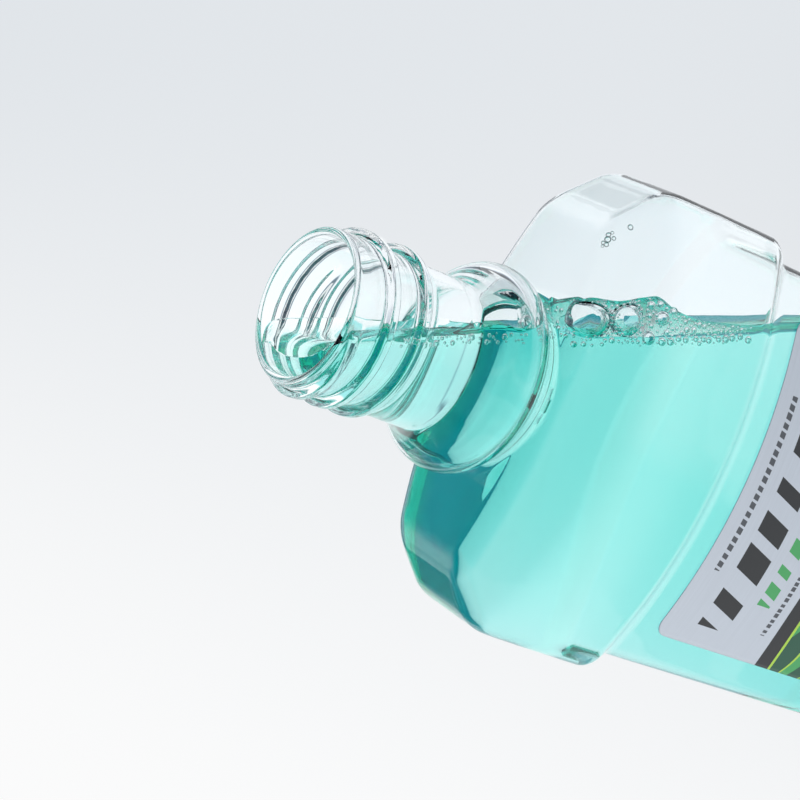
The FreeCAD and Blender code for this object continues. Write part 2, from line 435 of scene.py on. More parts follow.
@dataclass
class BottleShape:
    """Form of the blow-moulded bottle, outside and inside, as distance fields and rings of points.

    Every surface has rings of the same columns. Its flat rows start flat_start edge radii away from
    an edge, and the rows over the block's rim reach rim_start edge radii to each side of it.
    """

    height: float = 212.0
    wall: float = 0.75
    face_radius: float = 105.0
    corner: float = 2.6

    panel_half_width: float = 43.0
    panel_bulge: float = 19.1

    block_half_width: float = 46.0
    block_foot_half_width: float = 46.7
    block_bulge: float = 21.9
    shoulder_bulge: float = 20.6
    ridge_bulge: float = 17.0
    ridge_half_width: float = 35.3
    ridge_drop: float = 47.2
    roof_fall: float = 1.1
    facet_foot_drop: float = 58.5
    block_foot_drop: float = 92.4
    block_foot_round: float = 4.4
    facet_edge: float = 3.0
    groove_fillet: float = 6.0

    foot_height: float = 15.0
    foot_edge: float = 4.0
    push_up_depth: float = 3.6
    push_up_inset: float = 8.0
    push_up_side_taper: float = 8.0
    push_up_face_taper: float = 4.5
    push_up_edge: float = 0.8

    neck_radius: float = 14.8
    neck_wall: float = 1.6
    lip_edge: float = 0.75
    bore_edge: float = 0.8
    neck_root_drop: float = 30.6
    neck_root_fillet: float = 3.2
    collar_radius: float = 20.6
    collar_round: float = 5.4
    collar_drop: float = 38.5
    collar_foot_radius: float = 15.6
    collar_foot_drop: float = 49.5
    collar_wall: float = 2.4
    collar_foot_fillet: float = 0.7

    ridge_height: float = 1.7
    ridge_foot: float = 3.0
    ridge_crest: float = 1.2
    thread_pitch: float = 6.0
    thread_turns: float = 1.5
    thread_start_drop: float = 2.6
    thread_start_angle: float = 254.0
    thread_run_out: float = 50.0
    bead_drop: float = 15.2

    side_columns: int = 8
    corner_columns: int = 12
    face_columns: int = 54
    centre_drop: float = 67.0
    roof_start: float = 17.0
    side_power: float = 0.8
    face_power: float = 1.1
    foot_last: float = 0.93
    flat_start: float = 1.5
    rim_start: float = 1.3
    rim_power: float = 1.3
    rim_share: float = 0.6
    groove_rows: int = 24
    ray_halvings: int = 36
    neck_overlap: float = 0.4
    neck_rows: tuple[int, int] = (7, 66)
    bore_rows: int = 12
    collar_rows: int = 16
    collar_start: float = -60.0
    collar_sweep: float = 115.0
    lip_turns: tuple[int, ...] = (15, 30, 45, 60, 75, 90)

    def drop(self, depth: float) -> float:
        """Height above the table of something this far below the lip."""
        return self.height - depth

    def oval(self, x: np.ndarray, y: np.ndarray, half_width: np.ndarray | float,
             bulge: np.ndarray | float, corner: float) -> np.ndarray:
        """Distance from an upright oval column with flat sides and round corners.

        Args:
            x: place across the bottle.
            y: place through it.
            half_width: distance of the flat sides from the middle.
            bulge: distance of the curved faces from it.
            corner: radius of the corners.

        Returns:
            The distances.
        """
        face = np.hypot(x, np.abs(y) + self.face_radius - bulge) - self.face_radius
        return rounded_max(np.abs(x) - half_width, face, corner)

    def block_sizes(self, z: np.ndarray) -> tuple[np.ndarray, np.ndarray]:
        """Half width and bulge of the faceted block.

        Args:
            z: heights.

        Returns:
            Both at each height.
        """
        places = np.array([self.drop(self.block_foot_drop) + self.block_foot_round,
                           self.drop(self.facet_foot_drop), self.drop(self.ridge_drop),
                           self.drop(self.collar_drop)])
        bulges = np.array([self.block_bulge, self.shoulder_bulge, self.ridge_bulge,
                           2 * self.ridge_bulge - self.shoulder_bulge])
        widths = np.interp(z, places[:2], [self.block_foot_half_width, self.block_half_width])
        return widths, np.minimum(smooth_through(z, places, bulges), self.block_bulge)

    def roof(self, x: np.ndarray, z: np.ndarray, inset: float) -> np.ndarray:
        """Distance from the space under the roof and its two side facets.

        Args:
            x: place across the bottle.
            z: height.
            inset: inset of the surface from the outside.

        Returns:
            The distances.
        """
        ridge = self.drop(self.ridge_drop)
        slope = math.atan2(self.roof_fall, self.ridge_half_width)
        roof = (z - ridge - self.roof_fall) * math.cos(slope) + np.abs(x) * math.sin(slope)
        run = self.block_half_width - self.ridge_half_width
        fall = self.facet_foot_drop - self.ridge_drop
        beyond = np.abs(x) - self.ridge_half_width
        facet = (beyond * fall + (z - ridge) * run) / math.hypot(run, fall)
        return rounded_max(roof + inset, facet + inset, self.facet_edge - inset)

    def side_sizes(self, z: np.ndarray, inset: float) -> tuple[np.ndarray, np.ndarray]:
        """Half width and bulge from the foot band over the panel to the block.

        Args:
            z: heights.
            inset: inset of the surface from the outside.

        Returns:
            Both at each height.
        """
        low = self.foot_height - self.foot_edge
        high = self.drop(self.block_foot_drop) + self.block_foot_round
        band = self.groove(self.block_half_width, self.foot_edge, inset, self.groove_rows)
        foot = self.groove(self.block_foot_half_width, self.block_foot_round, inset,
                           self.groove_rows)
        table = np.array([(low + rise, width, bulge) for width, bulge, rise in band]
                         + [(high - rise, width, bulge) for width, bulge, rise in reversed(foot)])
        widths, bulges = self.block_sizes(z)
        widths, bulges = [np.where(z < high, np.interp(z, table[:, 0], low_part), upper)
                          for low_part, upper in zip(table[:, 1:].T, (widths, bulges))]
        return widths - inset, bulges - inset

    def body(self, points: np.ndarray, inset: float) -> np.ndarray:
        """Distance from the foot band, the panel and the faceted block in one.

        Args:
            points: rows of X, Y and Z.
            inset: inset of the surface from the outside.

        Returns:
            The distances.
        """
        x, y, z = points.T
        half_width, bulge = self.side_sizes(z, inset)
        side = self.oval(x, y, half_width, bulge, self.corner - inset)
        body = rounded_max(side, inset - z, self.foot_edge - inset)
        return rounded_max(body, self.roof(x, z, inset), self.facet_edge - inset)

    def push_up(self, points: np.ndarray, inset: float) -> np.ndarray:
        """Distance from the hollow under the base.

        Args:
            points: rows of X, Y and Z.
            inset: inset of the surface from the outside.

        Returns:
            The distances.
        """
        x, y, z = points.T
        share = np.clip(z / self.push_up_depth, 0, 1)
        half_width = self.block_half_width - self.push_up_inset - self.push_up_side_taper * share
        bulge = self.block_bulge - self.push_up_inset - self.push_up_face_taper * share
        side = self.oval(x, y, half_width + inset, bulge + inset, self.corner)
        return rounded_max(side, z - self.push_up_depth - inset, self.push_up_edge)

    def ridge(self, angle: np.ndarray, z: np.ndarray) -> np.ndarray:
        """How far the thread and the bead ring stand out of the neck.

        Args:
            angle: direction from the neck's axis in degrees.
            z: height.

        Returns:
            The height of what stands out there.
        """
        foot, crest = self.ridge_foot / 2, self.ridge_crest / 2

        def bump(offset: np.ndarray) -> np.ndarray:
            """Height of a ridge, by the distance from its middle line."""
            t = np.clip((np.abs(offset) - crest) / (foot - crest), 0, 1)
            return self.ridge_height * (0.5 + 0.5 * np.cos(math.pi * t))

        height = bump(z - self.drop(self.bead_drop))
        turned = np.mod(self.thread_start_angle - angle, 360)
        whole = 360 * self.thread_turns
        for lap in range(math.ceil(self.thread_turns) + 1):
            done = turned + 360 * (lap - 1)
            share = np.clip(np.minimum(done, whole - done) / self.thread_run_out + 0.5, 0, 1)
            middle = self.drop(self.thread_start_drop) - self.thread_pitch * done / 360
            height = np.maximum(height, bump(z - middle) * share * share * (3 - 2 * share))
        return height

    def neck(self, points: np.ndarray, inset: float) -> np.ndarray:
        """Distance from the neck and collar, or from their bore where there is an inset.

        Args:
            points: rows of X, Y and Z.
            inset: inset of the surface from the outside.

        Returns:
            The distances.
        """
        x, y, z = points.T
        radius = np.hypot(x, y)
        collar_z = self.drop(self.collar_drop)
        centre = self.collar_radius - self.collar_round
        thin = inset * self.collar_wall / self.wall
        swell = np.hypot(np.maximum(radius - centre, 0), z - collar_z) - self.collar_round + thin
        foot_z = self.drop(self.collar_foot_drop)
        low = (centre + self.collar_round / 2, collar_z - self.collar_round * math.sqrt(0.75))
        run, rise = low[0] - self.collar_foot_radius, low[1] - foot_z
        beyond = radius - self.collar_foot_radius
        cone = (beyond * rise - (z - foot_z) * run) / math.hypot(run, rise)
        cone = np.maximum(cone + thin, np.maximum(foot_z - z, z - collar_z))
        tube = radius - self.neck_radius + self.neck_wall * inset / self.wall
        if not inset:
            side = radius - self.neck_radius - self.ridge(np.degrees(np.arctan2(y, x)), z)
            tube = rounded_max(side, z - self.height, self.lip_edge)
        tube = np.maximum(tube, collar_z - z)
        return rounded_min(tube, np.minimum(swell, cone), self.neck_root_fillet)

    def field(self, inset: float) -> Field:
        """Distance field of the whole form.

        Args:
            inset: inset of the surface from the outside.

        Returns:
            The field.
        """
        def whole(points: np.ndarray) -> np.ndarray:
            """Distance of each point from the form."""
            body = self.body(points, inset)
            body = rounded_min(body, self.neck(points, inset), self.collar_foot_fillet + inset)
            return rounded_max(body, -self.push_up(points, inset), self.push_up_edge)

        return whole

    def outline(self, half_width: np.ndarray | float, bulge: np.ndarray | float,
                corner: float) -> np.ndarray:
        """Rows of X and Y round an oval. The same columns keep to its corners at every size.

        Args:
            half_width: half width, for all columns or for each.
            bulge: bulge, likewise.
            corner: radius of its corners.

        Returns:
            One row a column, from +X on counter-clockwise.
        """
        def shares(count: int) -> np.ndarray:
            """Middles of equal steps from nought to one."""
            return (np.arange(count) + 0.5) / count

        quarter = np.concatenate([shares(self.side_columns), 1 + shares(self.corner_columns),
                                  2 + shares(self.face_columns)])
        place = np.concatenate([quarter, quarter[::-1]] * 2)
        count = len(quarter)
        sign_x = np.repeat([1, -1, -1, 1], count)
        sign_y = np.repeat([1, 1, -1, -1], count)
        depth = self.face_radius - bulge
        inner = half_width - corner
        middle = np.sqrt((self.face_radius - corner) ** 2 - inner ** 2) - depth
        start = np.arctan2(middle + depth, inner)
        on_side, on_corner = np.clip(place, 0, 1), np.clip(place - 1, 0, 1)
        turn = start * on_corner
        x = inner + corner * np.cos(turn)
        y = middle * on_side ** self.side_power + corner * np.sin(turn)
        angle = start + (math.pi / 2 - start) * np.clip(place - 2, 0, 1) ** self.face_power
        on_face = place > 2
        x = np.where(on_face, self.face_radius * np.cos(angle), x)
        y = np.where(on_face, self.face_radius * np.sin(angle) - depth, y)
        return np.stack([sign_x * x, sign_y * y], axis=1)

    def oval_ring(self, half_width: float, bulge: float, z: float, corner: float) -> np.ndarray:
        """Ring of points round an oval at one height."""
        return points_at(*self.outline(half_width, bulge, corner).T, z)

    def onto_block(self, targets: np.ndarray, inset: float) -> np.ndarray:
        """Points where rays from the middle of the block leave it.

        Args:
            targets: points that the rays go to.
            inset: inset of the block's surface.

        Returns:
            One point a target.
        """
        centre = np.array([0, 0, self.drop(self.centre_drop)])
        ways = targets - centre
        ways /= np.linalg.norm(ways, axis=1, keepdims=True)
        low = np.zeros(len(ways))
        high = np.full(len(ways), 2 * self.block_half_width)
        for _ in range(self.ray_halvings):
            middle = (low + high) / 2
            inside = self.body(centre + middle[:, None] * ways, inset) < 0
            low, high = np.where(inside, middle, low), np.where(inside, high, middle)
        return centre + low[:, None] * ways

    def facet_rings(self, inset: float, coarse: int) -> list[np.ndarray]:
        """Rings over the top of the block that follow its edges, from its side to the collar.

        Args:
            inset: inset of the surface.
            coarse: divisor of the number of rows in each round.

        Returns:
            The rings, on the block's surface.
        """
        run = self.block_half_width - self.ridge_half_width
        fall = self.facet_foot_drop - self.ridge_drop
        slant = math.hypot(run, fall)
        top_x = self.ridge_half_width - inset * (slant - run) / fall
        ridge = self.drop(self.ridge_drop) - inset
        foot = ridge - (self.block_half_width - inset - top_x) * fall / run
        start = self.drop(self.centre_drop)
        close = np.linspace(-1, 1, 2 * (6 // coarse) + 1) * self.facet_edge
        away = self.flat_start * self.facet_edge
        steep = [*np.linspace(start, foot - away, 4), *(foot + close),
                 *np.linspace(foot + away, ridge - away, 6)]

        def ring(z: np.ndarray | float) -> np.ndarray:
            """Ring on the facets and the faces drawn in by the inset.

            Args:
                z: its height, for all columns or for each.

            Returns:
                The ring.
            """
            widths, bulges = self.block_sizes(np.asarray(z, dtype=float))
            reach = np.minimum(widths - inset, top_x + (ridge - np.minimum(z, ridge)) * run / fall)
            return points_at(*self.outline(reach, bulges - inset, self.facet_edge).T, z)

        rings = [ring(z) for z in steep]
        rim = ring(ridge)
        rise = self.roof_fall * (1 - np.clip(np.abs(rim[:, 0]) / self.ridge_half_width, 0, 1))
        rim = ring(ridge + rise)
        for step in np.linspace(1, 0, 8 // coarse + 1)[:-1] ** self.rim_power:
            rings.append(ring(ridge + rise - self.rim_start * self.facet_edge * step))
        rings.append(rim)
        angles = np.arctan2(rim[:, 1], rim[:, 0])
        inner = self.round_ring(angles, self.roof_start - inset, 0.0)
        gap = np.linalg.norm(rim[:, :2] - inner[:, :2], axis=1)
        near = np.minimum(self.rim_start * self.facet_edge / gap, self.rim_share)
        shares = [near * step for step in np.linspace(0, 1, 6 // coarse + 1)[1:]]
        shares += [near + (1 - near) * step for step in np.linspace(0, 1, 7)[1:]]
        for share in shares:
            flat = rim[:, :2] + (inner[:, :2] - rim[:, :2]) * share[:, None]
            z = ridge + self.roof_fall * (1 - np.abs(flat[:, 0]) / self.ridge_half_width)
            rings.append(points_at(*flat.T, z))
        solid = self.onto_block(np.vstack(rings), inset)
        return list(solid.reshape(len(rings), len(rim), 3))

    @staticmethod
    def round_ring(angles: np.ndarray, radius: np.ndarray | float, z: float) -> np.ndarray:
        """Ring of points round the neck axis."""
        return points_at(radius * np.cos(angles), radius * np.sin(angles), z)

    def body_rings(self, inset: float, coarse: int) -> list[np.ndarray]:
        """Rings from the middle of the base up to the flat sides of the block.

        Args:
            inset: inset of the surface from the outside.
            coarse: divisor of the number of rows in each round.

        Returns:
            The rings, near their surface.
        """
        rings = []

        def add(half_width: float, bulge: float, z: float) -> None:
            """Adds one oval, drawn in by the inset."""
            rings.append(self.oval_ring(half_width - inset, bulge - inset, z, self.corner - inset))

        # The base's hollow, row by row: its flat roof, then its sides down to the standing ring.
        flat = (self.block_half_width - self.push_up_inset - self.push_up_side_taper,
                self.block_bulge - self.push_up_inset - self.push_up_face_taper)
        for share in (0.25, 0.5, 0.75, 0.92, 1.0):
            add(flat[0] * share + inset, flat[1] * share + inset, self.push_up_depth + inset)
        for share in (0.15, 0.5, 0.85, 1.0):
            add(flat[0] + self.push_up_side_taper * share + 2 * inset,
                flat[1] + self.push_up_face_taper * share + 2 * inset,
                self.push_up_depth * (1 - share) + inset)
        add(self.block_half_width - self.foot_edge, self.block_bulge - self.foot_edge, inset)
        edge, count = self.foot_edge - inset, 6 // coarse
        for step in range(count, -1, -1):
            turn = math.pi / 2 * min(step / count, self.foot_last)
            drawn_in = edge * (1 - math.cos(turn))
            add(self.block_half_width - drawn_in, self.block_bulge - drawn_in,
                self.foot_edge - edge * math.sin(turn))
        add(self.block_half_width, self.block_bulge, self.foot_height / 2)
        rim = self.drop(self.block_foot_drop)
        low, high = self.foot_height - self.foot_edge, rim + self.block_foot_round
        band = self.groove(self.block_half_width, self.foot_edge, inset, 8 // coarse)
        foot = self.groove(self.block_foot_half_width, self.block_foot_round, inset, 8 // coarse)
        # The panel between its two grooves, with its rows closer near them.
        for half_width, bulge, rise in band:
            add(half_width, bulge, low + rise)
        for share in (0.1, 0.4, 0.7, 0.9):
            start, end = low + band[-1][2], high - foot[-1][2]
            add(self.panel_half_width, self.panel_bulge, start + (end - start) * share)
        for half_width, bulge, rise in reversed(foot):
            add(half_width, bulge, high - rise)
        top = self.drop(self.centre_drop)
        bottom = rim + self.block_foot_round
        widening = self.block_half_width - self.block_foot_half_width
        for share in (0.25, 0.5, 0.75):
            add(self.block_foot_half_width + widening * share,
                self.block_bulge + (self.shoulder_bulge - self.block_bulge) * share,
                bottom + (top - bottom) * share)
        return rings

    def groove(self, half_width: float, radius: float, inset: float,
               count: int) -> list[tuple[float, float, float]]:
        """Half width, bulge and rise of each row from a round edge through its fillet to the panel.

        Args:
            half_width: half width of the block or band at its flat side.
            radius: radius of its edge on the outside.
            inset: inset of the surface.
            count: number of rows in each half.

        Returns:
            The rows, the flat side's first.
        """
        side_step, step = half_width - self.panel_half_width, self.block_bulge - self.panel_bulge
        whole = math.acos(1 - step / (radius + self.groove_fillet))
        edge, fillet = radius - inset, self.groove_fillet + inset
        turns = [whole * index / count for index in range(count + 1)]
        rows = [(edge * (1 - math.cos(turn)), edge * math.sin(turn)) for turn in turns]
        rows += [(step - fillet * (1 - math.cos(turn)),
                  (edge + fillet) * math.sin(whole) - fillet * math.sin(turn))
                 for turn in turns[-2::-1]]
        return [(half_width - drawn * side_step / step, self.block_bulge - drawn, rise)
                for drawn, rise in rows]

    def collar_rings(self, angles: np.ndarray, inset: float, coarse: int) -> list[np.ndarray]:
        """Rings over the collar, from the roof to the root of the neck.

        Args:
            angles: direction of each column from the neck's axis.
            inset: inset of the surface from the outside.
            coarse: divisor of the number of rows.

        Returns:
            The rings, near their surface.
        """
        thin = inset * self.collar_wall / self.wall
        centre, round_radius = self.collar_radius - self.collar_round, self.collar_round - thin
        collar_z = self.drop(self.collar_drop)
        rings = []
        low_z = collar_z - round_radius * math.sqrt(0.75)
        roof_z = self.drop(self.ridge_drop) + self.roof_fall - inset
        foot_z = self.drop(self.collar_foot_drop)
        spread = centre + round_radius / 2 - self.collar_foot_radius + thin
        for share in (0.15, 0.3, 0.6, 0.85):
            height = roof_z + (low_z - roof_z) * share
            reach = (height - foot_z) / (low_z - foot_z)
            radius = self.collar_foot_radius - thin + spread * reach
            rings.append(self.round_ring(angles, radius, height))
        count = self.collar_rows // coarse
        for step in range(count + 1):
            turn = math.radians(self.collar_start + self.collar_sweep * step / count)
            rings.append(self.round_ring(angles, centre + round_radius * math.cos(turn),
                                         collar_z + round_radius * math.sin(turn)))
        return rings

    def surface(self, side: Side, inset: float, coarse: int = 1) -> list[np.ndarray]:
        """Rings of one side of the wall, settled on its field, from the base to the lip.

        Args:
            side: outside or inside.
            inset: inset of the surface.
            coarse: divisor of the number of rows.

        Returns:
            The rings.
        """
        rings = self.body_rings(inset, coarse) + self.facet_rings(inset, coarse)
        angles = np.arctan2(rings[-1][:, 1], rings[-1][:, 0])
        rings += self.collar_rings(angles, inset, coarse)
        field = self.field(inset)
        stacked = settle(np.vstack(rings), field)
        rings = list(stacked.reshape(len(rings), len(angles), 3))
        return rings + (self.bore_rings(angles, inset) if side is Side.INSIDE
                        else self.neck_rings(angles))

    def neck_rings(self, angles: np.ndarray) -> list[np.ndarray]:
        """Rings up the outside of the neck, over its ridges, to the flat of the lip.

        Args:
            angles: direction of each column from the neck's axis.

        Returns:
            The rings.
        """
        root, top = self.drop(self.neck_root_drop - self.neck_overlap), self.height - self.lip_edge
        plain = self.drop(self.bead_drop + self.ridge_foot / 2)
        low, high = self.neck_rows
        rows = [(z, 0.0) for z in (*np.linspace(root, plain, low)[:-1],
                                   *np.linspace(plain, top, high))]
        rows += [(top + self.lip_edge * math.sin(turn), turn)
                 for turn in np.radians(self.lip_turns)]
        rings = []
        for z, turn in rows:
            drawn_in = self.lip_edge * (1 - math.cos(turn))
            ridges = self.ridge(np.degrees(angles), np.full_like(angles, z))
            reach = self.neck_radius - drawn_in + ridges * math.cos(turn)
            rings.append(self.round_ring(angles, reach, z))
        return rings

    def bore_rings(self, angles: np.ndarray, inset: float) -> list[np.ndarray]:
        """Rings up the bore of the neck to its round edge at the lip.

        Args:
            angles: direction of each column from the neck's axis.
            inset: inset of the surface from the outside.

        Returns:
            The rings.
        """
        bore = self.neck_radius - self.neck_wall * inset / self.wall
        edge = self.bore_edge * ((self.neck_radius - bore) / self.neck_wall)
        heights = np.linspace(self.drop(self.neck_root_drop - self.neck_overlap),
                              self.height - edge, self.bore_rows)
        rows = [(bore, z) for z in heights]
        rows += [(bore + edge * (1 - math.cos(turn)), heights[-1] + edge * math.sin(turn))
                 for turn in np.radians(self.lip_turns)]
        return [self.round_ring(angles, radius, z) for radius, z in rows]

    def shell(self) -> bpy.types.Object:
        """Closed wall of the bottle."""
        outside = self.surface(Side.OUTSIDE, 0.0)
        inside = self.surface(Side.INSIDE, self.wall, 2)
        return turned_grid("bottle_shell", outside + inside[::-1])


@dataclass
class Liquid:
    """Mouthwash in the tipped bottle, up to its steep surface.

    The surface is a grid: rows of a given height of their middle, and columns from wall to wall,
    which go a little beyond it. Past the lip a row is as long as open_half to each side.
    """

    shape: BottleShape
    overlap: float = 0.12
    surface_up: tuple[float, float, float] = (0.924, 0.210, 0.319)
    axis_drop: float = 20.0
    lip_drop: float = 0.6
    mouth_edge: float = 0.3
    mouth_shrink: float = 0.985
    meniscus_height: float = 2.9
    meniscus_width: float = 2.5
    mouth_round: float = 5.0
    low_z: float = 55.0
    air_height: float = 130.0
    level_steps: tuple[float, ...] = (1.5, 0.5, 1.0, 0.4, 0.8)
    columns: int = 64
    beyond: float = 2.5
    open_half: float = 13.0
    probe_reach: float = 30.0
    probe_count: int = 481
    steepest: float = 0.98

    def space(self) -> Field:
        """Distance field of the space inside the wall."""
        return self.shape.field(self.shape.wall)

    def cavity(self) -> bpy.types.Object:
        """Closed space inside the wall, a little larger than it, up to just under the lip.

        Returns:
            The object, which later holds the liquid.
        """
        rings = self.shape.surface(Side.INSIDE, self.shape.wall - self.overlap, 2)
        top = self.shape.drop(self.lip_drop)
        kept = [ring for ring in rings if ring[0, 2] < top]
        x, y, _ = kept[-1].T
        bore = points_at(x, y, top - self.mouth_edge)
        edge = points_at(x * self.mouth_shrink, y * self.mouth_shrink, top)
        flat = points_at(edge[:, 0] / 2, edge[:, 1] / 2, top)
        return turned_grid("mouthwash_liquid", kept + [bore, edge, flat])

    def axes(self) -> tuple[np.ndarray, np.ndarray, np.ndarray]:
        """Directions of the surface.

        Returns:
            Unit vectors upwards, lengthwise and crosswise.
        """
        up = np.array(self.surface_up) / np.linalg.norm(self.surface_up)
        along = np.array([0, 0, 1]) - up[2] * up
        along /= np.linalg.norm(along)
        return up, along, np.cross(up, along)

    def levels(self) -> np.ndarray:
        """Heights of the surface rows, close together where the wall turns.

        Returns:
            The heights, upwards. Each span has its own step.
        """
        drop = self.shape.drop
        rim, roof = drop(self.shape.block_foot_drop), drop(self.shape.ridge_drop)
        ends = (self.low_z, rim - 4, rim + 6, roof - 8, roof + 18, drop(-3.0))
        parts = [np.arange(start, end, step)
                 for start, end, step in zip(ends, ends[1:], self.level_steps)]
        return np.concatenate(parts)

    def surface_grid(self) -> np.ndarray:
        """Points of the free surface, with its raised rim along the wall.

        Returns:
            Rows and columns of points.
        """
        up, along, across = self.axes()
        field = self.space()
        start = np.array([0, 0, self.shape.drop(self.axis_drop)])
        probe = np.linspace(-self.probe_reach, self.probe_reach, self.probe_count)
        turns = np.linspace(-math.pi / 2, math.pi / 2, self.columns)
        rows = []
        for level in self.levels():
            base = start + along * (level - start[2]) / along[2]
            inside = field(base + probe[:, None] * across) < 0
            ends = probe[inside][[0, -1]] if inside.any() else self.open_half * np.array([-1, 1])
            middle, half = ends.mean(), (ends[1] - ends[0]) / 2
            places = middle + half * np.sin(turns)
            over = np.array([self.beyond / 4, self.beyond])
            places = np.concatenate([places[0] - over[::-1], places, places[-1] + over])
            rows.append(base + places[:, None] * across)
        grid = np.stack(rows)
        near = np.maximum(grid[..., 2] - (self.shape.drop(self.lip_drop) - self.mouth_round), 0)
        near = np.minimum(near, self.mouth_round * self.steepest)
        grid -= (self.mouth_round - np.sqrt(self.mouth_round ** 2 - near ** 2))[..., None] * up
        depth = np.maximum(-field(grid.reshape(-1, 3)), 0)
        lift = self.meniscus_height * np.exp(-depth / self.meniscus_width)
        return grid + lift.reshape(grid.shape[:2])[..., None] * up

    def air(self) -> bpy.types.Object:
        """Closed space above the free surface."""
        surface = self.surface_grid()
        return slab("air", surface, surface + self.axes()[0] * self.air_height)

    def build(self) -> bpy.types.Object:
        """Liquid as one closed mesh.

        Returns:
            The object.
        """
        body = self.cavity()
        combine(body, self.air())
        body.data.set_sharp_from_angle(angle=math.radians(CONTACT_ANGLE))
        return body


def combine(body: bpy.types.Object, tool: bpy.types.Object, join: Join = Join.CUT) -> None:
    """Cuts one closed mesh with another, or joins them, and deletes the tool.

    Args:
        body: mesh that is changed.
        tool: the other mesh.
        join: what is made of them.
    """
    modifier = body.modifiers.new("boolean", "BOOLEAN")
    modifier.operation = join.value
    modifier.solver = "MANIFOLD"
    modifier.object = tool
    keep_evaluated(body, modifier)
    bpy.data.objects.remove(tool)


@dataclass
class Foam:
    """Bubbles on the liquid along the front wall, the film that joins them, and drops on the wall.

    A large bubble is given by the height of the surface level that it stands on, how far it lies
    above the surface along the wall, its radius, and how much it is stretched along the waterline.
    The small ones are drawn: first a row along the waterline, then bubbles in the bank, then some
    in the neck. The bank's top is given by level and height, and its thickness by a least one and
    a share of its height.
    """

    liquid: Liquid
    seed: int = 11
    film: float = 0.3
    seat: float = 0.85
    ball_columns: int = 64
    ball_rows: int = 32
    small_count: int = 300
    tries: int = 8000
    gap: float = 0.04
    fine_radius: float = 0.3
    radii: tuple[float, ...] = (0.22, 0.3, 0.4, 0.5, 0.62)
    radius_shares: tuple[float, ...] = (0.25, 0.25, 0.25, 0.15, 0.1)
    depth_shares: tuple[float, float] = (0.8, 1.15)
    level_start: float = 126.0
    level_span: float = 45.0
    level_spread: float = 1.6
    sunk: float = 0.7
    head_room: float = 0.25
    rise_power: float = 0.8
    neck_tries: int = 160
    neck_levels: tuple[float, float] = (174.5, 199.0)
    neck_heights: tuple[float, float] = (-0.5, 1.2)
    big: tuple[tuple[float, float, float, float], ...] = (
        (162.9, 4.7, 3.45, 1.16), (154.5, 4.2, 3.05, 1.05), (147.7, 4.3, 1.35, 1.15),
        (169.3, 3.0, 1.2, 1.0), (150.6, 0.7, 1.35, 1.0), (157.9, 0.3, 0.6, 1.0),
        (150.2, 6.8, 0.8, 1.0), (148.4, 7.0, 0.65, 1.0), (145.6, 5.6, 0.6, 1.0))
    row_levels: tuple[float, float] = (127.0, 149.0)
    row_step: float = 1.9
    row_jitter: float = 0.3
    row_radii: tuple[float, float] = (0.6, 0.85)
    row_heights: tuple[float, float] = (-0.2, 0.5)
    table_levels: tuple[float, float, float] = (120.0, 200.0, 0.5)
    rail_count: int = 601
    bank_rows: int = 100
    bank_turns: int = 19
    bank_thickness: tuple[float, float] = (0.6, 0.32)
    bank_wall: float = 2.5
    bank_end: float = 0.6
    bank_depth: float = 1.6
    ridge: tuple[tuple[float, float], ...] = (
        (171.5, 2.4), (170.0, 4.4), (167.0, 7.3), (164.0, 8.7), (160.5, 8.1), (157.0, 7.6),
        (152.0, 8.3), (149.0, 8.4), (146.0, 6.3), (141.0, 4.3), (134.0, 3.3), (126.0, 2.6))
    drops: tuple[tuple[float, float, float], ...] = (
        (32.7, 163.6, 0.62), (33.9, 164.4, 0.5), (31.6, 163.2, 0.45), (33.1, 162.4, 0.4),
        (32.0, 164.7, 0.38), (34.3, 163.4, 0.33), (31.2, 164.2, 0.3), (36.2, 160.0, 0.55))

    def rail(self, levels: np.ndarray) -> np.ndarray:
        """Points of the front waterline.

        Args:
            levels: heights of the surface's middle line.

        Returns:
            One point a level.
        """
        liquid, (_, along, across) = self.liquid, self.liquid.axes()
        field = liquid.space()
        start = np.array([0, 0, liquid.shape.drop(liquid.axis_drop)])
        reach = np.linspace(0, liquid.probe_reach, self.rail_count)[:, None] * across
        reach *= -1 if across[1] > 0 else 1
        points = []
        for level in levels:
            probe = reach + start + along * (level - start[2]) / along[2]
            points.append(probe[np.flatnonzero(field(probe) < 0)[-1]])
        return np.array(points)

    def inwards(self, points: np.ndarray) -> np.ndarray:
        """Unit directions from the wall into the bottle."""
        way = -gradient(points, self.liquid.space())
        return way / np.linalg.norm(way, axis=1, keepdims=True)

    def upwards(self, inward: np.ndarray) -> np.ndarray:
        """Unit directions up along the wall.

        Args:
            inward: directions from the wall into the bottle.

        Returns:
            One direction each, square to them.
        """
        up = self.liquid.axes()[0]
        rise = up - inward * (inward @ up)[:, None]
        return rise / np.linalg.norm(rise, axis=1, keepdims=True)

    def centres(self, levels: np.ndarray, heights: np.ndarray, depths: np.ndarray) -> np.ndarray:
        """Places along the front wall.

        Args:
            levels: surface level that each stands on.
            heights: how far it lies above the surface along the wall.
            depths: how far it lies in from the wall.

        Returns:
            The places.
        """
        table = np.arange(*self.table_levels)
        lines = self.rail(table)
        line = np.stack([np.interp(levels, table, lines[:, axis]) for axis in range(3)], axis=1)
        place = line + self.upwards(self.inwards(line)) * heights[:, None]
        place = settle(place, self.liquid.space(), 3)
        return place + self.inwards(place) * depths[:, None]

    def large(self) -> list[tuple[np.ndarray, float, float]]:
        """Centre, radius and stretch of each large bubble."""
        levels, heights, radii, stretches = np.array(self.big).T
        return list(zip(self.centres(levels, heights, radii * self.seat), radii, stretches))

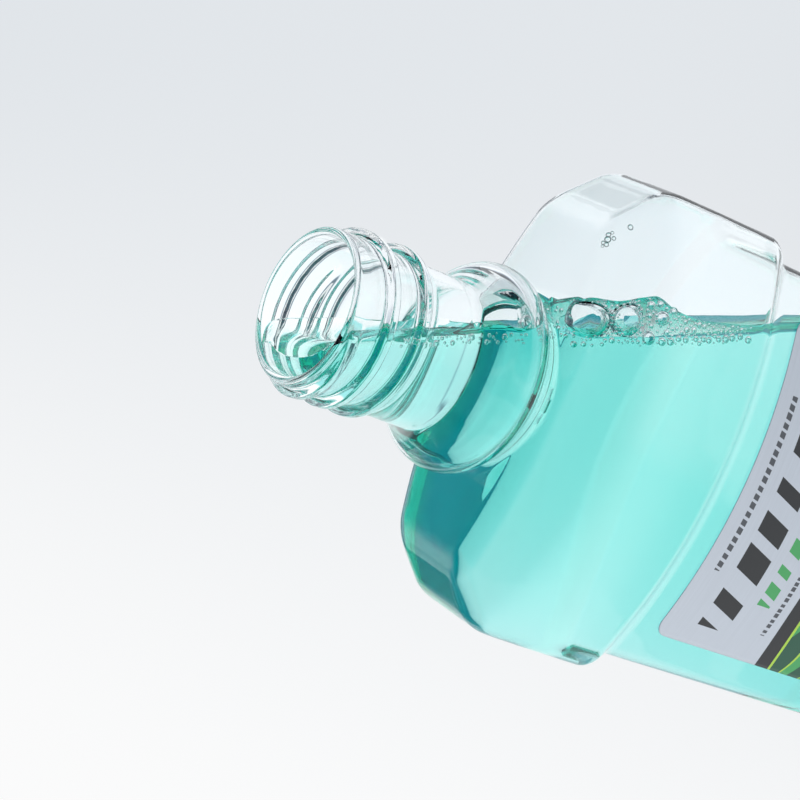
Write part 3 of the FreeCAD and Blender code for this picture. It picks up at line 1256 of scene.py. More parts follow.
    def small(self) -> list[tuple[np.ndarray, float]]:
        """Small bubbles, packed between the large ones and the rim of the bank.

        Returns:
            Centre and radius of each.
        """
        draw = np.random.default_rng(self.seed)
        tops = np.array(self.ridge)[::-1]
        row = np.arange(*self.row_levels, self.row_step)
        row_end, neck_start = len(row), -self.neck_tries
        levels = np.concatenate([
            row + draw.uniform(-self.row_jitter, self.row_jitter, row_end),
            self.level_start + self.level_span * draw.beta(self.level_spread, self.level_spread,
                                                           self.tries)])
        levels[neck_start:] = draw.uniform(*self.neck_levels, self.neck_tries)
        radii = draw.choice(self.radii, len(levels), p=self.radius_shares)
        radii[:row_end] = draw.uniform(*self.row_radii, row_end)
        room = np.interp(levels, tops[:, 0], tops[:, 1]) - radii - self.head_room
        shares = draw.uniform(0, 1, len(levels)) ** self.rise_power
        heights = -self.sunk + (room + self.sunk) * shares
        heights[:row_end] = draw.uniform(*self.row_heights, row_end)
        heights[neck_start:] = draw.uniform(*self.neck_heights, self.neck_tries)
        depths = radii * draw.uniform(*self.depth_shares, len(levels))
        spots = self.centres(levels, heights, depths)
        taken = [(spot, radius * (1 + stretch) / 2) for spot, radius, stretch in self.large()]
        kept: list[tuple[np.ndarray, float]] = []
        # The bubbles of the neck, which are the last ones drawn, find their places first.
        order = np.roll(np.arange(len(spots)), self.neck_tries)
        for spot, radius in zip(spots[order], radii[order]):
            if all(np.linalg.norm(spot - other) > radius + size + self.gap
                   for other, size in taken + kept):
                kept.append((spot, radius))
            if len(kept) >= self.small_count:
                break
        return kept

    def ball_group(self, material: bpy.types.Material) -> bpy.types.NodeTree:
        """Node group that puts a ball on each point, of the radius that the point carries.

        Args:
            material: the balls' material.

        Returns:
            The group.
        """
        group, node, given = new_group("balls_on_points", {
            "Points": "Geometry", "Detail": "Int"})
        ball = node("GeometryNodeMeshIcoSphere", 1.0, given["Detail"])
        size = node("GeometryNodeInputNamedAttribute", {"Name": "ball_radius"}, data_type="FLOAT")
        copies = node("GeometryNodeInstanceOnPoints", {
            "Points": given["Points"], "Instance": ball, "Scale": size})
        smooth = node("GeometryNodeSetShadeSmooth", node("GeometryNodeRealizeInstances", copies))
        dressed = node("GeometryNodeSetMaterial", {"Geometry": smooth, "Material": material})
        node("NodeGroupOutput", {"Made": dressed})
        return group

    def balls(self, spots: list[tuple[np.ndarray, float]], detail: int,
              material: bpy.types.Material) -> bpy.types.Object:
        """Closed balls, as one object.

        Args:
            spots: centre and radius of each.
            detail: how many times its faces are divided.
            material: their material.

        Returns:
            The object.
        """
        piece = mesh_piece("balls", np.array([spot for spot, _ in spots]), [])
        sizes = piece.data.attributes.new("ball_radius", "FLOAT", "POINT")
        sizes.data.foreach_set("value", [radius * MM for _, radius in spots])
        run_group(piece, self.ball_group(material), {"Detail": detail})
        return piece

    def oval_ball(self, middle: np.ndarray, radius: float, stretch: float) -> bpy.types.Object:
        """One large bubble, stretched along the waterline.

        Args:
            middle: its centre.
            radius: its radius.
            stretch: its length as a share of its width.

        Returns:
            The object.
        """
        along = self.liquid.axes()[1]
        turns = np.arange(self.ball_columns) * 2 * math.pi / self.ball_columns
        rings = []
        for angle in np.linspace(-math.pi / 2, math.pi / 2, self.ball_rows + 2)[1:-1]:
            ball = points_at(math.cos(angle) * np.cos(turns), math.cos(angle) * np.sin(turns),
                             math.sin(angle))
            ball += np.outer(ball @ along, along) * (stretch - 1)
            rings.append(middle + ball * radius)
        return turned_grid("bubble", rings)

    def bank(self) -> bpy.types.Object:
        """Raised bank of liquid along the front wall, which the bubbles lie in.

        Returns:
            The object.
        """
        levels = np.linspace(self.ridge[-1][0], self.ridge[0][0], self.bank_rows)
        tops = np.array(self.ridge)[::-1]
        heights = smooth_through(levels, tops[:, 0], tops[:, 1])
        lines = self.rail(levels)
        inward = self.inwards(lines)
        turns = np.linspace(0, math.pi / 2, self.bank_turns)
        least, share = self.bank_thickness
        near, far = [], []
        for line, way, inner, height in zip(lines, self.upwards(inward), inward, heights):
            thick = least + share * height
            curve = (line + np.outer(np.cos(turns), way * height)
                     + np.outer(np.sin(turns), inner * thick))
            near.append(np.vstack([curve[0] - inner * self.bank_wall, curve,
                                   curve[-1] - way * self.bank_end]))
            under = np.linspace(-self.bank_wall, thick, len(turns) + 2)
            far.append(line - way * self.bank_depth + np.outer(under, inner))
        return slab("bank", np.stack(near), np.stack(far))

    def wall_drops(self, material: bpy.types.Material) -> bpy.types.Object:
        """Drops that cling to the inside of the front wall.

        Args:
            material: the liquid's.

        Returns:
            The drops as one object.
        """
        x, z, radii = np.array(self.drops).T
        near = points_at(x, -self.liquid.shape.block_bulge / 2, z)
        places = settle(near, self.liquid.space(), 8)
        return self.balls(list(zip(places, radii)), 4, material)

    def add_to(self, mouthwash: bpy.types.Object, material: bpy.types.Material) -> None:
        """Raises the film on the liquid and cuts the bubbles out of it.

        Args:
            mouthwash: the liquid's piece, whose mesh is changed.
            material: its material.
        """
        raised = [self.bank()]
        raised += [self.oval_ball(middle, radius + self.film, stretch)
                   for middle, radius, stretch in self.large()]
        raised.append(self.wall_drops(material))
        for piece in raised:
            combine(piece, self.liquid.cavity(), Join.COMMON)
            combine(mouthwash, piece, Join.ADD)
        for bubble in self.large():
            combine(mouthwash, self.oval_ball(*bubble))
        spots = self.small()
        # Larger bubbles have more faces.
        for fine, detail in ((True, 2), (False, 3)):
            chosen = [spot for spot in spots if (spot[1] < self.fine_radius) == fine]
            combine(mouthwash, self.balls(chosen, detail, material))
        mouthwash.data.set_sharp_from_angle(angle=math.radians(CONTACT_ANGLE))


@dataclass
class Label:
    """Printed film on the front of the panel."""

    shape: BottleShape
    half_width: float = 34.8
    top: float = 112.4
    foot: float = 22.2
    corner: float = 3.2
    thickness: float = 0.15
    sink: float = 0.05
    backing: float = 0.06
    columns: int = 84
    middle_rows: int = 40
    corner_steps: int = 8

    def outline(self) -> list[tuple[float, float]]:
        """Outline of the film, with its round corners.

        Returns:
            Height and half width of each row, from the foot to the top.
        """
        turns = np.linspace(0, math.pi / 2, self.corner_steps + 1)
        ends = [(self.corner * (1 - math.cos(turn)), self.corner * (1 - math.sin(turn)))
                for turn in turns]
        low = [(self.foot + rise, self.half_width - drawn) for rise, drawn in ends]
        high = [(self.top - rise, self.half_width - drawn) for rise, drawn in reversed(ends)]
        middle = np.linspace(self.foot + self.corner, self.top - self.corner, self.middle_rows)
        return low + [(z, self.half_width) for z in middle[1:-1]] + high

    def sheet(self, offset: float) -> np.ndarray:
        """Grid of points over the panel's front.

        Args:
            offset: how far outside the front they lie.

        Returns:
            Rows and columns of points.
        """
        shape = self.shape
        rows = []
        for z, half_width in self.outline():
            x = np.linspace(-half_width, half_width, self.columns)
            reach = np.sqrt((shape.face_radius + offset) ** 2 - x ** 2)
            y = shape.face_radius - shape.panel_bulge - reach
            rows.append(points_at(x, y, z))
        return np.stack(rows)

    def build(self) -> bpy.types.Object:
        """Film as one closed mesh."""
        return slab("label_film", self.sheet(self.thickness), self.sheet(-self.sink))

    def back(self) -> bpy.types.Object:
        """Back of the film, which shows from inside the bottle."""
        return slab("label_backing", self.sheet(-self.sink), self.sheet(-self.sink - self.backing))


@dataclass
class CapShape:
    """Dosing cap that stands open side up: a cup, grip ribs, an inner skirt, its thread, a liner.

    The thread runs out over a share of its turn at each end, down to a least share of its height.
    The part of its foot that thread_crest gives is its flat crest. Its rows start thread_lift
    inside the wall that it stands on.
    """

    axis_x: float = 80.4
    radius: float = 20.4
    height: float = 32.8
    wall: float = 1.2
    floor: float = 1.6
    edge: float = 1.4
    bore: float = 16.9
    skirt_wall: float = 1.0
    skirt_depth: float = 21.0
    rib_count: int = 48
    rib_height: float = 0.45
    rib_width: float = 1.7
    rib_margin: float = 4.0
    rib_sink: float = 0.4
    rib_taper: float = 1.2
    thread_height: float = 1.7
    thread_foot: float = 3.0
    thread_pitch: float = 6.0
    thread_top: float = 14.8
    thread_sink: float = 0.4
    thread_run_out: float = 0.12
    thread_least: float = 0.04
    thread_crest: float = 0.35
    thread_lift: float = 0.05
    thread_rows: int = 121
    thread_columns: int = 13
    liner_height: float = 1.2
    liner_gap: float = 0.15
    lip_radius: float = 14.0
    columns: int = 192

    def cup(self) -> bpy.types.Object:
        """Cup and skirt, turned from one outline.

        Returns:
            The object.
        """
        # Corners go from the middle of the base up the outside, and down again to the floor.
        inner, skirt_top = self.radius - self.wall, self.floor + self.skirt_depth
        outer_skirt = self.bore + self.skirt_wall
        profile = rounded_profile([
            (0, 0, 0), (self.radius * 0.6, 0, 0.4), (self.radius, 0, self.edge),
            (self.radius, self.height, 0.4), (inner, self.height, 0.4), (inner, self.floor, 0.5),
            (outer_skirt, self.floor, 0.5), (outer_skirt, skirt_top, 0.3),
            (self.bore, skirt_top, 0.3), (self.bore, self.floor, 0.4), (0, self.floor, 0)])
        return revolve("cap_cup", profile, self.columns, self.axis_x)

    def rib(self) -> bpy.types.Object:
        """One grip rib at +X of the axis, tapered at both ends.

        Returns:
            The object, which later holds all ribs.
        """
        low, high = self.rib_margin, self.height - self.rib_margin
        ends = np.linspace(0, 1, 5)
        heights = np.concatenate([low + self.rib_taper * ends,
                                  np.linspace(low + self.rib_taper, high - self.rib_taper, 4)[1:-1],
                                  high - self.rib_taper * ends[::-1]])
        across = np.linspace(-1, 1, 9)
        front = []
        for z in heights:
            share = min((z - low) / self.rib_taper, (high - z) / self.rib_taper, 1)
            rise = math.sqrt(max(1 - (1 - share) ** 2, 0))
            reach = self.radius - self.rib_sink / 2 + (
                self.rib_height + self.rib_sink / 2) * rise * np.sqrt(1 - across ** 4)
            front.append(points_at(reach, across * self.rib_width / 2, z))
        grid = np.stack(front)
        back = grid.copy()
        back[..., 0] = self.radius - self.rib_sink * 1.5
        return slab("cap_ribs", grid, back)

    def rib_group(self, material: bpy.types.Material) -> bpy.types.NodeTree:
        """Node group that repeats a rib round the cap's axis.

        Args:
            material: the ribs' material.

        Returns:
            The group.
        """
        group, node, given = new_group("ribs_round_axis", {
            "Rib": "Geometry", "Count": "Int", "Axis X": "Float"})
        spots = node("GeometryNodePoints", {"Count": given["Count"]})
        step = node(MATH, 2 * math.pi, given["Count"], operation="DIVIDE")
        turn = node(MATH, node("GeometryNodeInputIndex"), step, operation="MULTIPLY")
        way = node("ShaderNodeCombineXYZ", {"Z": turn})
        copies = node("GeometryNodeInstanceOnPoints", {
            "Points": spots, "Instance": given["Rib"], "Rotation": way})
        place = node("ShaderNodeCombineXYZ", {"X": given["Axis X"]})
        moved = node("GeometryNodeTransform", {"Geometry": copies, "Translation": place})
        dressed = node("GeometryNodeSetMaterial", {
            "Geometry": node("GeometryNodeRealizeInstances", moved), "Material": material})
        node("NodeGroupOutput", {"Made": dressed})
        return group

    def ribs(self, material: bpy.types.Material) -> bpy.types.Object:
        """All grip ribs.

        Args:
            material: their material.

        Returns:
            The object.
        """
        piece = self.rib()
        run_group(piece, self.rib_group(material), {"Count": self.rib_count,
                                                    "Axis X": self.axis_x * MM})
        return piece

    def thread(self) -> bpy.types.Object:
        """Inner thread of one turn, run out at both ends.

        Returns:
            The object.
        """
        offsets = np.linspace(-1, 1, self.thread_columns)
        slope = (np.abs(offsets) - self.thread_crest) / (1 - self.thread_crest)
        bump = 0.5 + 0.5 * np.cos(math.pi * np.clip(slope, 0, 1))
        near, far = [], []
        for angle in np.linspace(0, 2 * math.pi, self.thread_rows):
            done = angle / (2 * math.pi)
            share = min(1, min(done, 1 - done) / self.thread_run_out + self.thread_least)
            lift = self.thread_lift
            reach = self.bore + lift - (self.thread_height + lift) * share * bump
            z = self.thread_top - self.thread_pitch * (1 - done) + offsets * self.thread_foot / 2
            for rows, radius in ((near, reach), (far, self.bore + self.thread_sink)):
                rows.append(points_at(self.axis_x + radius * math.cos(angle),
                                      radius * math.sin(angle), z))
        return slab("cap_thread", np.stack(near), np.stack(far))

    def liner(self) -> bpy.types.Object:
        """Foam disc with the ring that the bottle's lip presses into it.

        Returns:
            The object.
        """
        top, radius = self.floor + self.liner_height, self.bore - self.liner_gap
        profile = rounded_profile([
            (0, self.floor, 0), (radius * 0.5, self.floor, 0.2), (radius, self.floor, 0.15),
            (radius, top, 0.3), (self.lip_radius + 1, top, 0.3),
            (self.lip_radius + 0.4, top - 0.2, 0.2), (self.lip_radius - 0.4, top - 0.2, 0.2),
            (self.lip_radius - 1, top, 0.3), (0, top, 0)])
        return revolve("liner_disc", profile, self.columns, self.axis_x)


@dataclass(frozen=True)
class Finish:
    """What a piece is made of, named for the real material."""

    name: str

    def shaders(self, node: Nodes) -> dict[str, bpy.types.NodeSocket]:
        """Surface, and volume where there is one. Each material gives its own."""
        raise NotImplementedError

    def material(self) -> bpy.types.Material:
        """Material that holds this finish.

        Returns:
            The material.
        """
        material = bpy.data.materials.new(self.name)
        material.use_nodes = True
        material.node_tree.nodes.clear()
        node = partial(add_node, material.node_tree)
        node("ShaderNodeOutputMaterial", self.shaders(node))
        return material


@dataclass(frozen=True)
class ClearPet(Finish):
    """Blow-moulded PET: glass-clear and glossy, with faint upright flow lines in its wall.

    The flow lines are ripples of hundredths of a millimetre, 0.15 to the millimetre round the wall
    and far longer upwards. They make reflections waver a little, as on a blown wall.
    """

    name: str = "clear_blow_moulded_pet"
    ior: float = 1.57
    tint: str = "#fbfdfd"
    flow_marks: tuple[float, float, float] = (0.15, 0.15, 0.016)
    flow_depth: float = 0.03

    def shaders(self, node: Nodes) -> dict[str, bpy.types.NodeSocket]:
        """Clear surface with its flow lines.

        Args:
            node: adds a node.

        Returns:
            The shaders by name.
        """
        place = node("ShaderNodeTexCoord").node.outputs["Object"]
        scale = tuple(marks / MM for marks in self.flow_marks)
        stretch = node("ShaderNodeMapping", {"Vector": place, "Scale": scale})
        flow = node("ShaderNodeTexNoise", {"Vector": stretch, "Scale": 1.0, "Detail": 1.0})
        bump = node("ShaderNodeBump", {"Height": flow, "Strength": 1.0,
                                       "Distance": self.flow_depth * MM})
        return {"Surface": node("ShaderNodeBsdfPrincipled", {
            "Base Color": linear(self.tint), "Roughness": 0.0, "IOR": self.ior,
            "Transmission Weight": 1.0, "Normal": bump})}


@dataclass(frozen=True)
class TealLiquid(Finish):
    """Dyed water: clear, with a teal that deepens where the light goes a longer way through it."""

    name: str = "dyed_mouthwash"
    ior: float = 1.333
    absorption: str = "#2df2e8"
    density: float = 26.0

    def shaders(self, node: Nodes) -> dict[str, bpy.types.NodeSocket]:
        """Clear surface with the dye in its volume.

        Args:
            node: adds a node.

        Returns:
            The shaders by name.
        """
        return {"Surface": node("ShaderNodeBsdfPrincipled", {
                    "Base Color": linear("#ffffff"), "Roughness": 0.0, "IOR": self.ior,
                    "Transmission Weight": 1.0}),
                "Volume": node("ShaderNodeVolumeAbsorption", {
                    "Color": linear(self.absorption), "Density": self.density})}


@dataclass(frozen=True)
class PrintRow:
    """Row of slanted bars on the label, in millimetres of X and Z."""

    middle: float
    half_height: float
    centre: float
    half_span: float
    pitch: float
    slant: float
    least: float
    spread: float
    colour: str


@dataclass(frozen=True)
class PrintedFilm(Finish):
    """Silver-grey label film with rows of slanted bars over a dark field with wavy green lines.

    The brushed base and its broad sheen say thin metallised film. Its brush marks, 2.6 to the
    millimetre, are drawn as coarse as they need to show. The edges of the field swell by
    field_swell, and its lines by ripple_swell of their spacing.
    """

    name: str = "printed_silver_film"
    silver: str = "#c3cad4"
    charcoal: str = "#1f2226"
    lime: str = "#a9cf45"
    green: str = "#12523c"
    leaf: str = "#3fa05a"
    brush_marks: tuple[float, float, float] = (0.06, 0.06, 2.6)
    brush_share: float = 0.12
    bar_seed: float = 0.618
    field_wave: float = 0.08
    field_swell: float = 1.6
    ripple: tuple[float, float] = (0.17, 0.11)
    ripple_swell: float = 0.9
    line_lean: float = 0.16
    line_pitch: float = 5.2
    leaf_share: float = 0.34
    glint: tuple[float, float] = (0.36, 0.03)
    field_spans: tuple[tuple[float, float], ...] = ((60.0, 21.0), (59.5, 17.5), (59.5, 16.8))
    rows: tuple[PrintRow, ...] = (
        PrintRow(108.0, 0.75, 1.0, 19.0, 1.9, 0.2, 0.55, 0.2, "#4a4e55"),
        PrintRow(99.6, 4.0, -1.0, 29.0, 8.6, 0.3, 0.38, 0.4, "#1f2226"),
        PrintRow(90.6, 1.9, 2.0, 24.0, 4.9, 0.3, 0.35, 0.4, "#43a05c"),
        PrintRow(85.6, 0.6, 0.0, 28.0, 1.3, 0.0, 0.5, 0.3, "#4a4e55"),
        PrintRow(33.4, 0.6, 0.0, 26.0, 1.6, 0.0, 0.5, 0.3, "#4a4e55"),
        PrintRow(30.4, 0.6, 0.0, 22.0, 1.6, 0.0, 0.5, 0.3, "#4a4e55"),
        PrintRow(27.4, 0.6, 0.0, 18.0, 1.6, 0.0, 0.5, 0.3, "#43a05c"))

    def bars(self, node: Nodes, x: Any, z: Any, row: PrintRow) -> bpy.types.NodeSocket:
        """Where the bars of a row are.

        Args:
            node: adds a node.
            x: place across the label.
            z: height on it.
            row: the row.

        Returns:
            One on the bars, nought elsewhere.
        """
        above = node(MATH, z, row.middle, operation="SUBTRACT")
        lean = node(MATH, above, -row.slant, x, operation="MULTIPLY_ADD")
        steps = node(MATH, lean, row.pitch, operation="DIVIDE")
        number = node(MATH, steps, operation="FLOOR")
        number = node(MATH, number, self.bar_seed, operation="MULTIPLY")
        number = node(MATH, number, operation="FRACT")
        width = node(MATH, number, row.spread, row.least, operation="MULTIPLY_ADD")
        bar = node(MATH, node(MATH, steps, operation="FRACT"), width, operation="LESS_THAN")
        across = node(MATH, z, row.middle, row.half_height, operation="COMPARE")
        along = node(MATH, x, row.centre, row.half_span, operation="COMPARE")
        spot = node(MATH, across, along, operation="MULTIPLY")
        return node(MATH, bar, spot, operation="MULTIPLY")

    def layers(self, node: Nodes, x: Any, z: Any) -> list[tuple[bpy.types.NodeSocket, str]]:
        """The dark field, its lime line and its wavy green lines, from below upwards.

        Args:
            node: adds a node.
            x: place across the label.
            z: height on it.

        Returns:
            Where each layer is, and its colour.
        """
        swell = node(MATH, x, self.field_wave, operation="MULTIPLY")
        swell = node(MATH, swell, operation="SINE")
        wave = node(MATH, swell, self.field_swell, z, operation="MULTIPLY_ADD")
        ripple = node(MATH, z, self.ripple[1], operation="MULTIPLY")
        ripple = node(MATH, x, self.ripple[0], ripple, operation="MULTIPLY_ADD")
        ripple = node(MATH, ripple, operation="SINE")
        level = node(MATH, z, self.line_pitch, operation="DIVIDE")
        level = node(MATH, x, self.line_lean, level, operation="MULTIPLY_ADD")
        level = node(MATH, ripple, self.ripple_swell, level, operation="MULTIPLY_ADD")
        lines = node(MATH, level, operation="FRACT")
        dark, rim, inner = [node(MATH, wave, middle, half, operation="COMPARE")
                            for middle, half in self.field_spans]
        leaf = node(MATH, lines, self.leaf_share, operation="LESS_THAN")
        glint = node(MATH, lines, *self.glint, operation="COMPARE")
        return [(dark, self.charcoal), (rim, self.lime), (inner, self.green),
                (node(MATH, inner, leaf, operation="MULTIPLY"), self.leaf),
                (node(MATH, inner, glint, operation="MULTIPLY"), self.lime)]

    def shaders(self, node: Nodes) -> dict[str, bpy.types.NodeSocket]:
        """Brushed film with its print.

        Args:
            node: adds a node.

        Returns:
            The shaders by name.
        """
        place = node("ShaderNodeTexCoord").node.outputs["Object"]
        parts = node("ShaderNodeSeparateXYZ", place).node.outputs
        x, z = [node(MATH, parts[way], MM, operation="DIVIDE") for way in "XZ"]
        scale = tuple(marks / MM for marks in self.brush_marks)
        stretch = node("ShaderNodeMapping", {"Vector": place, "Scale": scale})
        grain = node("ShaderNodeTexNoise", {"Vector": stretch, "Scale": 1.0})
        layers = [(node(MATH, grain, self.brush_share, operation="MULTIPLY"), self.charcoal)]
        layers += [(self.bars(node, x, z, row), row.colour) for row in self.rows]
        colour: Any = linear(self.silver)
        for share, shown in layers + self.layers(node, x, z):
            colour = node(MIX, share, colour, linear(shown), **COLOURS)
        return {"Surface": node("ShaderNodeBsdfPrincipled", {
            "Base Color": colour, "Roughness": 0.38, "IOR": 1.5, "Metallic": 0.15,
            "Coat Weight": 0.25, "Coat Roughness": 0.18})}


@dataclass(frozen=True)
class LabelBackWithPaintedLight(Finish):
    """Back of the label, which shows from inside the bottle as a deep teal field.

    Its deep teal is painted shade, the tint and shade of light through the mouthwash painted on
    the back. Its glow is painted light, for the light in front of the film that comes through it.
    Its faint mottle, with 0.16 patches to the millimetre, is that of adhesive under film.
    """

    name: str = "label_back"
    # Painted teal shade, and the mottle in it.
    colour: str = "#105a66"
    mottle: str = "#0c4f5a"
    mottle_marks: float = 0.16
    # Painted light: colour and strength of the glow.
    light: str = "#0098b8"
    glow: float = 1.0

    def shaders(self, node: Nodes) -> dict[str, bpy.types.NodeSocket]:
        """Dull teal of painted shade, with a little glow of painted light.

        Args:
            node: adds a node.

        Returns:
            The shaders by name.
        """
        place = node("ShaderNodeTexCoord").node.outputs["Object"]
        cloud = node("ShaderNodeTexNoise", {"Vector": place,
                                            "Scale": self.mottle_marks / MM})
        # Painted teal shade, mottled. The emission below is painted light.
        colour = node(MIX, cloud, linear(self.colour), linear(self.mottle), **COLOURS)
        return {"Surface": node("ShaderNodeBsdfPrincipled", {
            "Base Color": colour, "Roughness": 0.6, "Emission Color": linear(self.light),
            "Emission Strength": self.glow})}


@dataclass(frozen=True)
class MouldedPlastic(Finish):
    """Opaque moulded plastic or foam with a touch of light inside.

    Its mottle, with 0.09 patches to the millimetre, and its fine grain keep broad faces from
    looking computed. The grain is given in marks to the millimetre.
    """

    colour: str
    shade: str
    roughness: float
    grain: float
    depth: float
    inner: float
    mottle_marks: float = 0.09
    grain_sheen: float = 0.12

    def shaders(self, node: Nodes) -> dict[str, bpy.types.NodeSocket]:
        """Mottled surface with its grain.

        Args:
            node: adds a node.

        Returns:
            The shaders by name.
        """
        place = node("ShaderNodeTexCoord").node.outputs["Object"]
        cloud = node("ShaderNodeTexNoise", {"Vector": place, "Scale": self.mottle_marks / MM})
        fine = node("ShaderNodeTexNoise", {"Vector": place, "Scale": self.grain / MM,
                                           "Detail": 4.0})
        colour = node(MIX, cloud, linear(self.colour), linear(self.shade), **COLOURS)
        rough = node(MATH, fine, self.grain_sheen, self.roughness, operation="MULTIPLY_ADD")
        bump = node("ShaderNodeBump", {"Height": fine, "Strength": 0.4,
                                       "Distance": self.depth * MM})
        return {"Surface": node("ShaderNodeBsdfPrincipled", {
            "Base Color": colour, "Roughness": rough, "IOR": 1.49, "Normal": bump,
            "Subsurface Weight": self.inner, "Subsurface Radius": (0.002, 0.002, 0.002),
            "Subsurface Scale": 1.0})}


def seen(node: Nodes) -> bpy.types.NodeSocket:
    """Tells rays that look at something from rays that light it.

    Args:
        node: adds a node.

    Returns:
        One for a camera, glossy or transmission ray, nought for other rays.
    """
    rays = node("ShaderNodeLightPath").node.outputs
    share = rays["Is Camera Ray"]
    for name in ("Is Glossy Ray", "Is Transmission Ray"):
        share = node(MATH, share, rays[name], operation="MAXIMUM")
    return share


def falls(node: Nodes, *spans: tuple[Any, float, float, float]) -> bpy.types.NodeSocket:
    """Brightness that falls off smoothly in several ways at once.

    Args:
        node: adds a node.
        spans: what is measured, where its fall starts and ends, and what is left beyond.

    Returns:
        Product of the falls, each of which starts from one.
    """
    product: Any = 1.0
    for value, start, end, least in spans:
        fall = node(RANGE, value, start, end, 1.0, least, **SMOOTH)
        product = node(MATH, product, fall, operation="MULTIPLY")
    return product


@dataclass(frozen=True)
class PaleFloor(Finish):
    """Matt painted board: plain and pale, a little greyer far away, with the object's shadow on it.

    Seen through the bottle, or in it, it has painted shade: it is darker and bluer towards its ends,
    as a lit board in a dim room is, and through the bottle it is brighter, a painted backlight. It
    carries painted bands of teal shadow, for the teal light that the mouthwash throws on it. A fall
    is given by where it starts and ends and what it leaves, and a band by where it starts and ends
    and its weight.
    """

    name: str = "pale_floor"
    colour: str = "#fbfbfb"
    far_colour: str = "#e2e6ea"
    far_slope: tuple[float, float, float] = (3.07, 0.555, 0.547)
    own_light: float = 0.85
    # Painted backlight: how much brighter the board is seen through the bottle.
    through: float = 1.38
    # Painted shade: how the board, seen through or in the bottle, darkens towards its sides, front
    # and back, and the dim colour it turns.
    side_fall: tuple[float, float, float] = (0.35, 0.55, 0.06)
    front_fall: tuple[float, float, float] = (-0.15, -0.4, 0.22)
    back_fall: tuple[float, float, float] = (0.5, 0.9, 0.22)
    dim_colour: str = "#86abd2"
    # Painted teal shadow of the mouthwash: its colour, where it fades out along Y, and its bands
    # across X.
    painted_shadow_colour: str = "#68d2d2"
    painted_shadow_reach: tuple[float, float] = (0.15, 0.115)
    painted_shadow_bands: tuple[tuple[float, float, float], ...] = (
        (0.004, 0.0035, 0.16), (-0.002, -0.006, 0.12), (-0.009, -0.0095, 0.2),
        (-0.0145, -0.015, -0.1), (-0.017, -0.0175, 0.22), (-0.018, -0.03, 0.3))

    def shaders(self, node: Nodes) -> dict[str, bpy.types.NodeSocket]:
        """Board that takes shadows, bright to the camera, with painted shade through the bottle.

        Args:
            node: adds a node.

        Returns:
            The shaders by name.
        """
        place = node("ShaderNodeTexCoord").node.outputs["Object"]
        x, y, _ = node("ShaderNodeSeparateXYZ", place).node.outputs
        rays = node("ShaderNodeLightPath").node.outputs
        camera, through = rays["Is Camera Ray"], rays["Is Transmission Ray"]
        slope_x, slope_y, start = self.far_slope
        far = node(MATH, y, slope_y, start, operation="MULTIPLY_ADD")
        far = node(RANGE, node(MATH, x, slope_x, far, operation="MULTIPLY_ADD"), **SMOOTH)
        colour = node(MIX, far, linear(self.colour), linear(self.far_colour), **COLOURS)
        # Painted teal shadow: bands across X near the bottle, shown only to transmission rays.
        shade: Any = 0.0
        for begin, end, weight in self.painted_shadow_bands:
            band = node(RANGE, x, begin, end, 0.0, weight, **SMOOTH)
            shade = node(MATH, shade, band, operation="ADD")
        for share in (node(RANGE, y, *self.painted_shadow_reach, **SMOOTH), through):
            shade = node(MATH, shade, share, operation="MULTIPLY")
        with_painted_shadow = node(MIX, shade, colour, linear(self.painted_shadow_colour), **COLOURS)
        # Painted shade and light: darker and bluer towards the ends, and brighter through the
        # bottle, for rays that see the board.
        aside = node(MATH, x, operation="ABSOLUTE")
        bright = falls(node, (aside, *self.side_fall), (y, *self.front_fall), (y, *self.back_fall))
        lift = node(MATH, through, self.through - 1, 1.0, operation="MULTIPLY_ADD")
        lifted = node(MATH, bright, lift, operation="MULTIPLY")
        strength = node(MATH, lifted, camera, operation="MAXIMUM")
        plain = node(MATH, bright, camera, operation="MAXIMUM")
        shown = node(MIX, plain, linear(self.dim_colour), with_painted_shadow, **COLOURS)
        glow = node("ShaderNodeEmission", {"Color": shown, "Strength": strength})
        matt = node("ShaderNodeBsdfDiffuse", {"Color": colour})
        own = node(MATH, seen(node), self.own_light, operation="MULTIPLY")
        return {"Surface": node("ShaderNodeMixShader", own, matt, glow)}


